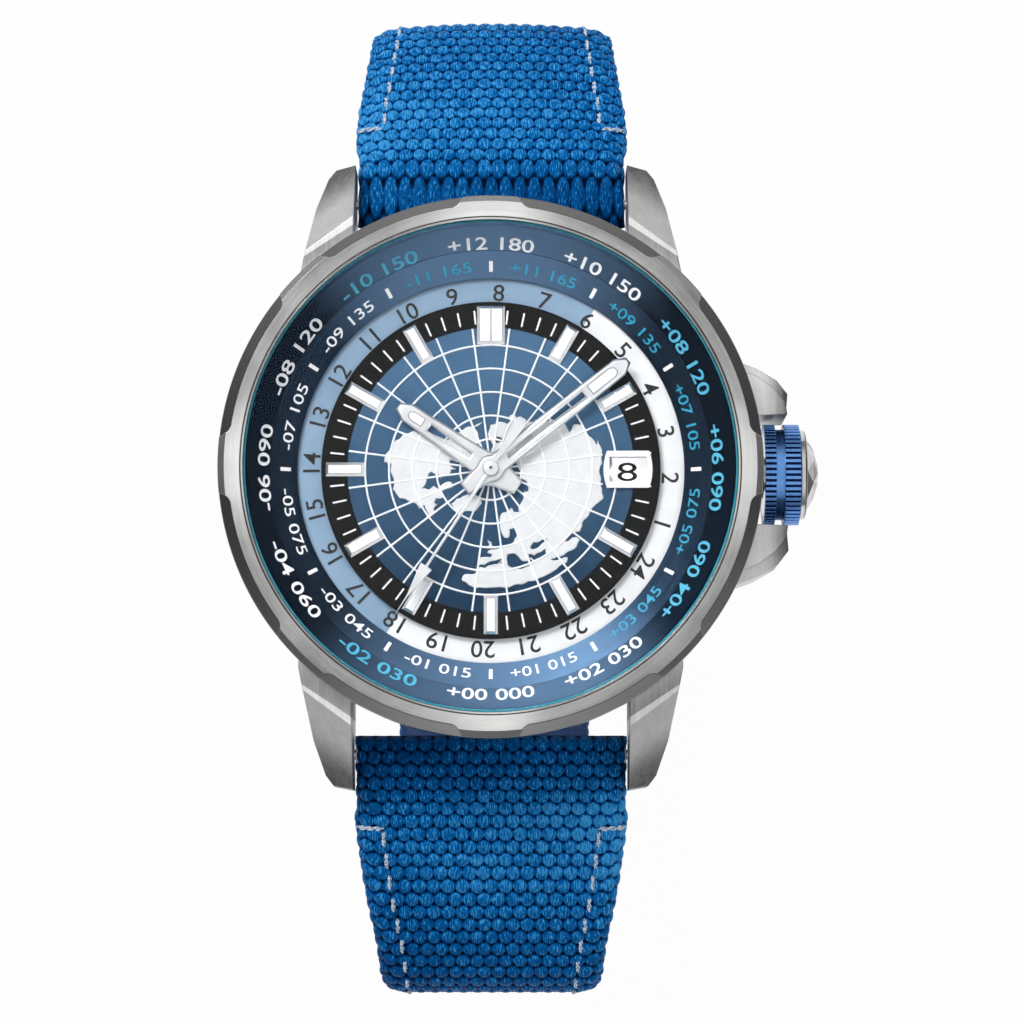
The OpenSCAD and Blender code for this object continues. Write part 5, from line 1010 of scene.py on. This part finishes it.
# Movement: rhodium-plated plates with turned stripes, gilt wheels, blued screws and rubies, seen
# through the window in the back.
dress(brushed_metal("plate_rhodium", (0.42, 0.42, 0.43, 1), (0.72, 0.72, 0.72, 1), 0.3, 1.0, lines=5000.0),
      "main_plate", "train_bridge", "barrel_bridge", "balance_cock", "pallet_bridge", "calendar_plate",
      "movement_ring", "rotor")
dress(brushed_metal("gilt", (0.52, 0.36, 0.13, 1), (0.85, 0.64, 0.28, 1), 0.28, 1.0,
                    lines=8000.0, depth=0.15),
      "centre_wheel", "third_wheel", "fourth_wheel", "hour_wheel", "minute_wheel", "date_wheel",
      "balance_wheel", "barrel", "ring_driver", "inner_idler", "outer_idler")
dress(polished_metal("blued_steel", (0.01, 0.02, 0.10, 1), (0.02, 0.06, 0.26, 1)),
      "movement_screws", "hairspring")
ruby, tree, shader = new_finish("ruby")
clouds = place_group(tree, clouding, {"Scale": 1200.0})
red = blend_colour(tree, clouds["Value"], (0.35, 0.0, 0.04, 1), (0.62, 0.01, 0.08, 1))
feed(tree, shader, {"Base Color": red, "Roughness": 0.08, "Coat Weight": 0.5})
dress(ruby, "jewels")
movement_steel = brushed_metal("movement_steel", (0.40, 0.40, 0.41, 1), (0.70, 0.70, 0.70, 1),
                               0.25, 1.0, depth=0.15)
dress(movement_steel, *[name for name in nodes if not nodes[name].material_slots
                        or nodes[name].material_slots[0].material.name.split(".")[0] == "movement_steel"])

# Strap: two halves of heavy woven nylon folded over a core, narrowed to the buckle, with a smooth
# lining inside and lines of twisted thread along both edges.
strap_t, strap_w, strap_end_w = 2.6, 21.85, 18.0
bend_y, bend_z, bend_r = 10.843, -32.570, 37.4
slope_a, fold_a = math.radians(72), math.radians(45)
fold_y, fold_z, fold_r = 34.460, -8.952, 4.0
side_y, side_l, curl_y, curl_z, curl_r = 38.460, 21.9, 18.460, -30.852, 20.0
strap_floor, flat_l, tail_r, tail_sweep = -50.852, 7.3, 30.0, math.radians(45)
slack_upper, slack_lower, bar_wrap = 0.45, 1.9, 4.0
row_pitch, column_pitch, yarn_half, yarn_depth = 1.05, 1.17, 0.565, 0.4
bend_l = bend_r * (slope_a - fold_a)
fold_l = fold_r * fold_a
shoulder_l = bend_l + fold_l
curl_l = curl_r * math.pi / 2


def round_middle(y, z, radius, turn, side):
    """A point of an arc: its y and z, and the direction away from the arc's middle"""
    out_y, out_z = math.cos(turn), math.sin(turn)
    return side * (y + radius * out_y), z + radius * out_z, side * out_y, out_z


def bend_line(s, side):
    """The path of a strap half: y, z and the outward direction, by the distance from its bar"""
    if s < bend_l:
        return round_middle(bend_y, bend_z, bend_r, slope_a - s / bend_r, side)
    s -= bend_l
    if s < fold_l:
        return round_middle(fold_y, fold_z, fold_r, fold_a - s / fold_r, side)
    s -= fold_l
    if s < side_l:
        return side * side_y, fold_z - s, side, 0.0
    s -= side_l
    if s < curl_l:
        return round_middle(curl_y, curl_z, curl_r, -s / curl_r, side)
    s -= curl_l
    if s < flat_l:
        return side * (curl_y - s), strap_floor, 0.0, -1.0
    turn = -math.pi / 2 + (s - flat_l) / tail_r
    return round_middle(flat_l - curl_y, strap_floor + tail_r, tail_r, turn, 1)


def strap_line(s, side):
    """Middle line of a strap half: its bends and the slack that stands out at the shoulder"""
    y, z, out_y, out_z = bend_line(s, side)
    slack = np.interp(s, [5, 9, 13, 17, shoulder_l, 25, 31, 37, shoulder_l + side_l],
                      [0, 0.16, 0.5, 0.84, 1, 0.93, 0.5, 0.12, 0])
    return y + slack * (slack_upper if side > 0 else -slack_lower), z, out_y, out_z


def strap_width(s, side):
    """Full width of the strap by the distance from its bar"""
    if side > 0:
        return float(np.interp(s, [4.3, 5.6, 7.1, 9.6, 12.2, 14.5, 16.4, shoulder_l, 32],
                               [strap_w, 22.4, 22.4, 22.1, 21.4, 21.0, 20.6, 20.0, strap_end_w]))
    return float(np.interp(s, [4.3, 5.6, 9.7, 12.2, 14.6, 16.4, shoulder_l, 30],
                           [strap_w, 22.2, 21.2, 20.45, 19.5, 18.9, 18.2, strap_end_w]))


def crown_drop(x, s):
    """How far the upper half's face falls away beside its middle"""
    return 0.5 * (x / 9.5) ** 2 * np.interp(s, [2, 8], [0, 1])


def weave(x, s, side=-1):
    """Height of the weave, 0 in its pits and 1 on top of a yarn, and a number for each yarn"""
    row = 2 + (s - 3.6) / row_pitch
    if side > 0:
        row = np.where(s < 1.9, (s + 1.6) / 3.5, np.where(s < 3.6, 1 + (s - 1.9) / 1.7, row))
    column = x / column_pitch
    height = np.zeros(np.broadcast(column, row).shape)
    number = np.zeros(height.shape)
    for step in (-1, 0, 1):
        here = np.floor(row) + step
        shift = 0.5 * (here % 2)
        middle = np.floor(column - shift + 0.5) + shift
        behind = row - here - 0.5
        away = ((column - middle) / yarn_half) ** 2 + (behind / np.where(behind < 0, 0.57, 0.64)) ** 2
        dome = np.sqrt(np.clip(1 - away, 0, 1))
        own_number = (np.sin(middle * 12.9898 + here * 78.233) * 43758.5453) % 1.0
        number = np.where(dome > height, own_number, number)
        height = np.maximum(height, dome)
    return height, number


def cloth_mesh(name, corners, faces, weights, shades, places):
    """A smooth mesh of cloth that knows its yarns: how high, which one, and the place along the strap"""
    mesh = bpy.data.meshes.new(name)
    mesh.from_pydata(corners, [], faces)
    mesh.attributes.new("yarn", "FLOAT", "POINT").data.foreach_set("value", weights)
    mesh.attributes.new("shade", "FLOAT", "POINT").data.foreach_set("value", shades)
    mesh.attributes.new("along", "FLOAT_VECTOR", "POINT").data.foreach_set("vector", places)
    mesh.polygons.foreach_set("use_smooth", [True] * len(faces))
    return mesh


def woven_band(name, side, start, end, left, right, body, tip_r=0.0, step=0.12):
    """A length of strap: outer face and edges woven, lining inside, ends rounded"""
    rows = int((end - start) / step) + 1
    lengths = np.linspace(start, end, rows)
    columns = int((right - left) / step)
    arc = np.linspace(0, math.pi, 21)[1:-1]
    lower_columns = columns // 4
    cover = np.clip(1.6 * np.cos(arc) + 0.7, 0, 1)
    woven = np.concatenate([np.ones(columns), cover, np.zeros(lower_columns), cover[::-1]])
    sections, weights, shades, places = [], [], [], []
    for s in lengths:
        y, z, out_y, out_z = strap_line(s, side)
        width = strap_width(s, side)
        low = -width / 2 if left <= -strap_end_w / 2 else left
        high = width / 2 if right >= strap_end_w / 2 else right
        if tip_r and end - s < tip_r:
            reach = math.sqrt(max(tip_r ** 2 - (tip_r - (end - s)) ** 2, 0.01))
            low, high = max(low, -reach), min(high, reach)
        half = strap_t / 2
        ease = min(s - start, end - s)
        if ease < half:
            half = math.sqrt(max(half ** 2 - (half - ease) ** 2, 0.01))
        edge = np.interp(s, [0, bar_wrap], [0.7, 2.0]) * half / (strap_t / 2)
        edge = min(edge, (high - low) / 2.2)
        top_x = np.linspace(low + edge, high - edge, columns)
        low_x = np.linspace(high - edge, low + edge, lower_columns)
        x = np.concatenate([top_x, high - edge + edge * np.sin(arc), low_x, low + edge - edge * np.sin(arc)])
        h = np.concatenate([np.full(columns, half), half * np.cos(arc),
                            np.full(lower_columns, -half), -half * np.cos(arc)])
        if side > 0:
            h = h - crown_drop(x, s) * np.clip(h, 0, 1)
        lean = np.concatenate([np.zeros(columns), np.sin(arc), np.zeros(lower_columns), -np.sin(arc)])
        round_edge = edge * arc / 1.45
        unrolled = np.concatenate([top_x, high - edge + round_edge, low_x, low + edge - round_edge[::-1]])
        raised, number = weave(unrolled, s, side)
        depth = yarn_depth * woven * (1 - raised)
        x = x - depth * lean
        h = h - depth * np.sqrt(1 - lean ** 2) * np.sign(h)
        sections.append(np.stack([x, y + out_y * h, z + out_z * h], 1) * mm)
        weights.append(np.where(woven < 0.02, 1.0, raised))
        shades.append(number)
        places.append(np.stack([unrolled, np.full(len(x), s), h], 1) * mm)
    around = len(sections[0])
    last = (rows - 1) * around
    ends = [tuple(range(around)), tuple(range(last, last + around))]
    turned = 1 if side > 0 else 0
    ends[turned] = ends[turned][::-1]
    faces = ring_faces(rows, around, flipped=side > 0) + ends
    mesh = cloth_mesh(name, np.concatenate(sections).tolist(), faces, np.concatenate(weights),
                      np.concatenate(shades), np.concatenate(places).ravel())
    made = new_piece(name, mesh, [strap_finish, lining_finish], body)
    lining = np.tile(woven < 1e-6, rows)
    slots = [int(lining[face[0]] and lining[face[1]] and lining[face[2]]) for face in faces]
    mesh.polygons.foreach_set("material_index", slots)
    return made


strap_finish, tree, shader = new_finish("strap_cloth")
yarn = put(tree, "ShaderNodeAttribute", attribute_name="yarn").outputs["Fac"]
number = put(tree, "ShaderNodeAttribute", attribute_name="shade").outputs["Fac"]
along = put(tree, "ShaderNodeAttribute", attribute_name="along").outputs["Vector"]
place = parts_of(tree, along)
stretched = put(tree, "ShaderNodeMapping", {"Vector": along, "Scale": (11000, 1700, 4000)}).outputs[0]
filament = noise(tree, stretched, 1.0, 2.0, 0.7)
patches = place_group(tree, clouding, {"Scale": 90.0, "Low": -0.05, "High": 0.05})
# Painted shade and light: darker in the pits of the weave, lighter on top of each yarn
raised = turn_into(tree, yarn, (0.16, 0.7), (0.0, 0.76), eased=True)
# Painted highlight: glints on the filaments at the tops of the yarns
painted_glints = turn_into(tree, filament, (0.5, 0.68), (0.0, 0.3), eased=True)
share = calc(tree, "MULTIPLY", calc(tree, "SUBTRACT", filament, 0.34), 0.75)
share = calc(tree, "ADD", raised, share)
share = calc(tree, "ADD", share, calc(tree, "MULTIPLY", painted_glints, yarn))
share = calc(tree, "ADD", share, calc(tree, "MULTIPLY", calc(tree, "SUBTRACT", number, 0.5), 0.07))
share = calc(tree, "ADD", share, patches["Value"])
# Painted shade: the cloth is darker where it tucks under the case, and on the fold and one side of each half
painted_shade_by_case = turn_into(tree, place["Y"], (0.4 * mm, 4.5 * mm), (0.30, 0.04))
to_fold = turn_into(tree, place["Y"], (9 * mm, 17 * mm))
to_right = turn_into(tree, place["X"], (-10 * mm, 10 * mm), (-1.0, 1.0))
painted_shade_upper = calc(tree, "ADD", calc(tree, "MULTIPLY", to_fold, 0.07),
                  calc(tree, "MULTIPLY", to_right, 0.05))
painted_shade_lower = calc(tree, "SUBTRACT", calc(tree, "MULTIPLY", to_fold, 0.2),
                  calc(tree, "MULTIPLY", to_right, 0.07))
in_lower = calc(tree, "LESS_THAN", parts_of(tree, place_of(tree))["Y"], 0.0)
painted_shade = put(tree, "ShaderNodeMix", {0: in_lower, 2: painted_shade_upper, 3: painted_shade_lower}).outputs[0]
share = calc(tree, "SUBTRACT", calc(tree, "SUBTRACT", share, painted_shade_by_case), painted_shade)
ramp = put(tree, "ShaderNodeValToRGB", {"Fac": share})
yarn_blues = ((0.08, (0.0001, 0.004, 0.019, 1)), (0.45, (0.0004, 0.042, 0.175, 1)),
              (0.80, (0.0008, 0.150, 0.500, 1)), (1.0, (0.070, 0.450, 0.950, 1)))
for stop, (place_on, colour) in enumerate(yarn_blues):
    if stop > 1:
        ramp.color_ramp.elements.new(place_on)
    ramp.color_ramp.elements[stop].position = place_on
    ramp.color_ramp.elements[stop].color = colour
feed(tree, shader, {"Base Color": ramp.outputs[0], "Roughness": 0.5, "Specular IOR Level": 0.1,
                    "Specular Tint": (0.1, 0.5, 1, 1), "Normal": relief(tree, filament, 0.7, 0.06 * mm)})

lining_finish, tree, shader = new_finish("strap_lining")
grain = put(tree, "ShaderNodeTexVoronoi", {"Vector": place_of(tree), "Scale": 2600.0},
            feature="SMOOTH_F1").outputs["Distance"]
feed(tree, shader, {"Base Color": blend_colour(tree, grain, (0.004, 0.03, 0.12, 1), (0.01, 0.06, 0.2, 1)),
                    "Roughness": 0.6, "Normal": relief(tree, grain, 0.5, 0.05 * mm)})

upper_l = shoulder_l + side_l + curl_l + 1.5
lower_l = shoulder_l + side_l + curl_l + flat_l + tail_r * tail_sweep
end_half, prong_gap_half = strap_end_w / 2, 1.1
prong_start, prong_end = upper_l - 3.5, upper_l + 1.0
upper = woven_band("strap_upper", 1, -2.0, upper_l - 2.5, -end_half, end_half, "upper_strap")
woven_band("strap_prong_left", 1, prong_start, prong_end, -end_half, -prong_gap_half, "upper_strap")
woven_band("strap_prong_right", 1, prong_start, prong_end, prong_gap_half, end_half, "upper_strap")
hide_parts("strap_12")
lower = woven_band("strap_lower", -1, -1.5, lower_l, -end_half, end_half, "lower_strap", tip_r=end_half)
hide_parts("strap_6")

# Stitching: two-ply nylon thread in pale blue, sewn in a row along both edges of each half. The
# stitches sink between the yarns, and each row starts with a longer one across the strap.
thread_finish, tree, shader = new_finish("thread")
twist = turn_into(tree, noise(tree, place_of(tree), 9000.0), (0.4, 0.54))
feed(tree, shader, {"Base Color": blend_colour(tree, twist, (0.03, 0.22, 0.52, 1), (0.95, 0.98, 1.0, 1)),
                    "Roughness": 0.6})


def stitch_shape(length, thick):
    """Two plies twisted round each other, sinking into the cloth at both ends"""
    corners, faces = [], []
    rings, round_count, twist_pitch = 13, 7, 1.3 * mm
    off_middle, ply_r = 0.22 * thick, 0.29 * thick
    for ply in (0, math.pi):
        start = len(corners)
        for i in range(rings):
            t = i / (rings - 1)
            full = min(1.0, 5 * t, 5 * (1 - t)) * 0.7 + 0.3
            turn = ply + t * 2 * math.pi * length / twist_pitch
            sink = -0.55 * thick * (1 - full)
            middle = Vector((off_middle * math.cos(turn), (t - 0.5) * length,
                             off_middle * math.sin(turn) + sink))
            for j in range(round_count):
                a = 2 * math.pi * j / round_count
                corners.append(middle + Vector((ply_r * full * math.cos(a), 0, ply_r * full * math.sin(a))))
        faces += ring_faces(rings, round_count, start, flipped=True)
    return corners, faces


def on_strap(x, s, side, lift, turned=0.0):
    """The matrix that lays a stitch on the strap's outer face"""
    y, z, out_y, out_z = strap_line(s, side)
    up = Vector((0, out_y, out_z))
    right = Vector((1, 0, 0))
    ahead = up.cross(right)
    frame_axes = Matrix((right, ahead, up)).transposed().to_4x4()
    if side > 0:
        lift -= crown_drop(x, s)
    place = Vector((x, y, z)) * mm + up * (strap_t / 2 + lift) * mm
    return Matrix.Translation(place) @ frame_axes @ Matrix.Rotation(turned, 4, "Z")


stitch_pitch, seam_inset, cross_inset = 1.75, 2.3, 1.3
stitch_sunk, cross_sunk, cross_tilt = -0.06, -0.27, math.radians(9)
stitch = stitch_shape(1.5 * mm, 0.36 * mm)
cross_stitch = stitch_shape(2.4 * mm, 0.42 * mm)
for name, side, start, end, body in (("thread_upper", 1, 7.0, upper_l - 6, "upper_strap"),
                                     ("thread_lower", -1, 5.8, lower_l - 10, "lower_strap")):
    cross_x = strap_width(start, side) / 2 - cross_inset
    rows = [(cross_stitch, on_strap(x * cross_x, start, side, cross_sunk, math.pi / 2)
             @ Matrix.Rotation(x * cross_tilt, 4, "X")) for x in (1, -1)]
    for s in np.arange(start + 0.9, end, stitch_pitch):
        seam_x = strap_width(s, side) / 2 - seam_inset
        rows += [(stitch, on_strap(x * seam_x, s, side, stitch_sunk)) for x in (1, -1)]
    applied(name, rows, thread_finish, body)

# Keepers: two flat loops of the same cloth round the strap's curl. One is sewn to the upper half,
# and the other slides along it.


def keeper_loop(name, start, body, replaced):
    """A flat loop of cloth round both layers of the strap's curl"""
    wall, width, corner, grain_step, rib = 0.8, 3.6, 0.9, 0.16, 0.12
    half_w, in_r, out_r = 9.35 + wall / 2, 18.45 - wall / 2, 23.6 + wall / 2
    sweep = width / curl_r
    path = []
    for cx, cr, first in ((half_w - corner, out_r - corner, 0), (-half_w + corner, out_r - corner, 90),
                          (-half_w + corner, in_r + corner, 180), (half_w - corner, in_r + corner, 270)):
        for k in range(9):
            a = math.radians(first + 90 * k / 8)
            path.append((cx + corner * math.cos(a), cr + corner * math.sin(a), math.cos(a), math.sin(a)))
    fine = []
    for k in range(len(path)):
        here, after = path[k], path[(k + 1) % len(path)]
        gap = math.dist(here[:2], after[:2])
        parts = max(int(gap / grain_step), 1)
        for p in range(parts):
            t = p / parts
            fine.append(tuple(here[i] * (1 - t) + after[i] * t for i in range(4)))
    lengths = np.cumsum([0] + [math.dist(fine[k][:2], fine[k + 1][:2]) for k in range(len(fine) - 1)])
    section = [(math.cos(a), math.sin(a)) for a in np.linspace(0, 2 * math.pi, 50, endpoint=False)]
    corners, weights, shades, places = [], [], [], []
    for k, (x, r, nx, nr) in enumerate(fine):
        for cs, cn in section:
            along = (abs(cs) ** 0.5) * math.copysign(1, cs) * 0.5
            lift = (abs(cn) ** 0.6) * math.copysign(1, cn) * wall / 2
            raised, number = weave(np.array(lengths[k]), np.array(along * width + 10.0))
            lift -= rib * (1 - float(raised)) if cn > 0.1 else 0
            px, pr = x + nx * lift, r + nr * lift
            turn = math.radians(start) + sweep * (along + 0.5)
            corners.append(Vector((px, curl_y + pr * math.cos(turn), curl_z + pr * math.sin(turn))) * mm)
            weights.append(float(raised))
            shades.append(float(number))
            places += [lengths[k] * mm, along * width * mm, cn * mm]
    faces = ring_faces(len(fine), len(section), closed=True)
    mesh = cloth_mesh(name, corners, faces, weights, shades, places)
    made = new_piece(name, mesh, [strap_finish], body)
    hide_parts(replaced)


keeper_loop("keeper_fixed", -56, "upper_strap", "fixed_keeper")
keeper_loop("keeper_sliding", -40, "keeper", "sliding_keeper")

# Buckle: a steel frame, brushed along the strap, which hangs with its bent tongue on a bar
# between the prongs of the upper half.
buckle_finish = brushed_metal("buckle_steel", (0.42, 0.42, 0.42, 1), (0.74, 0.74, 0.73, 1), 0.3, 0.0,
                              depth=0.2)
dress(buckle_finish, "buckle", "buckle_bar", "buckle_tongue")
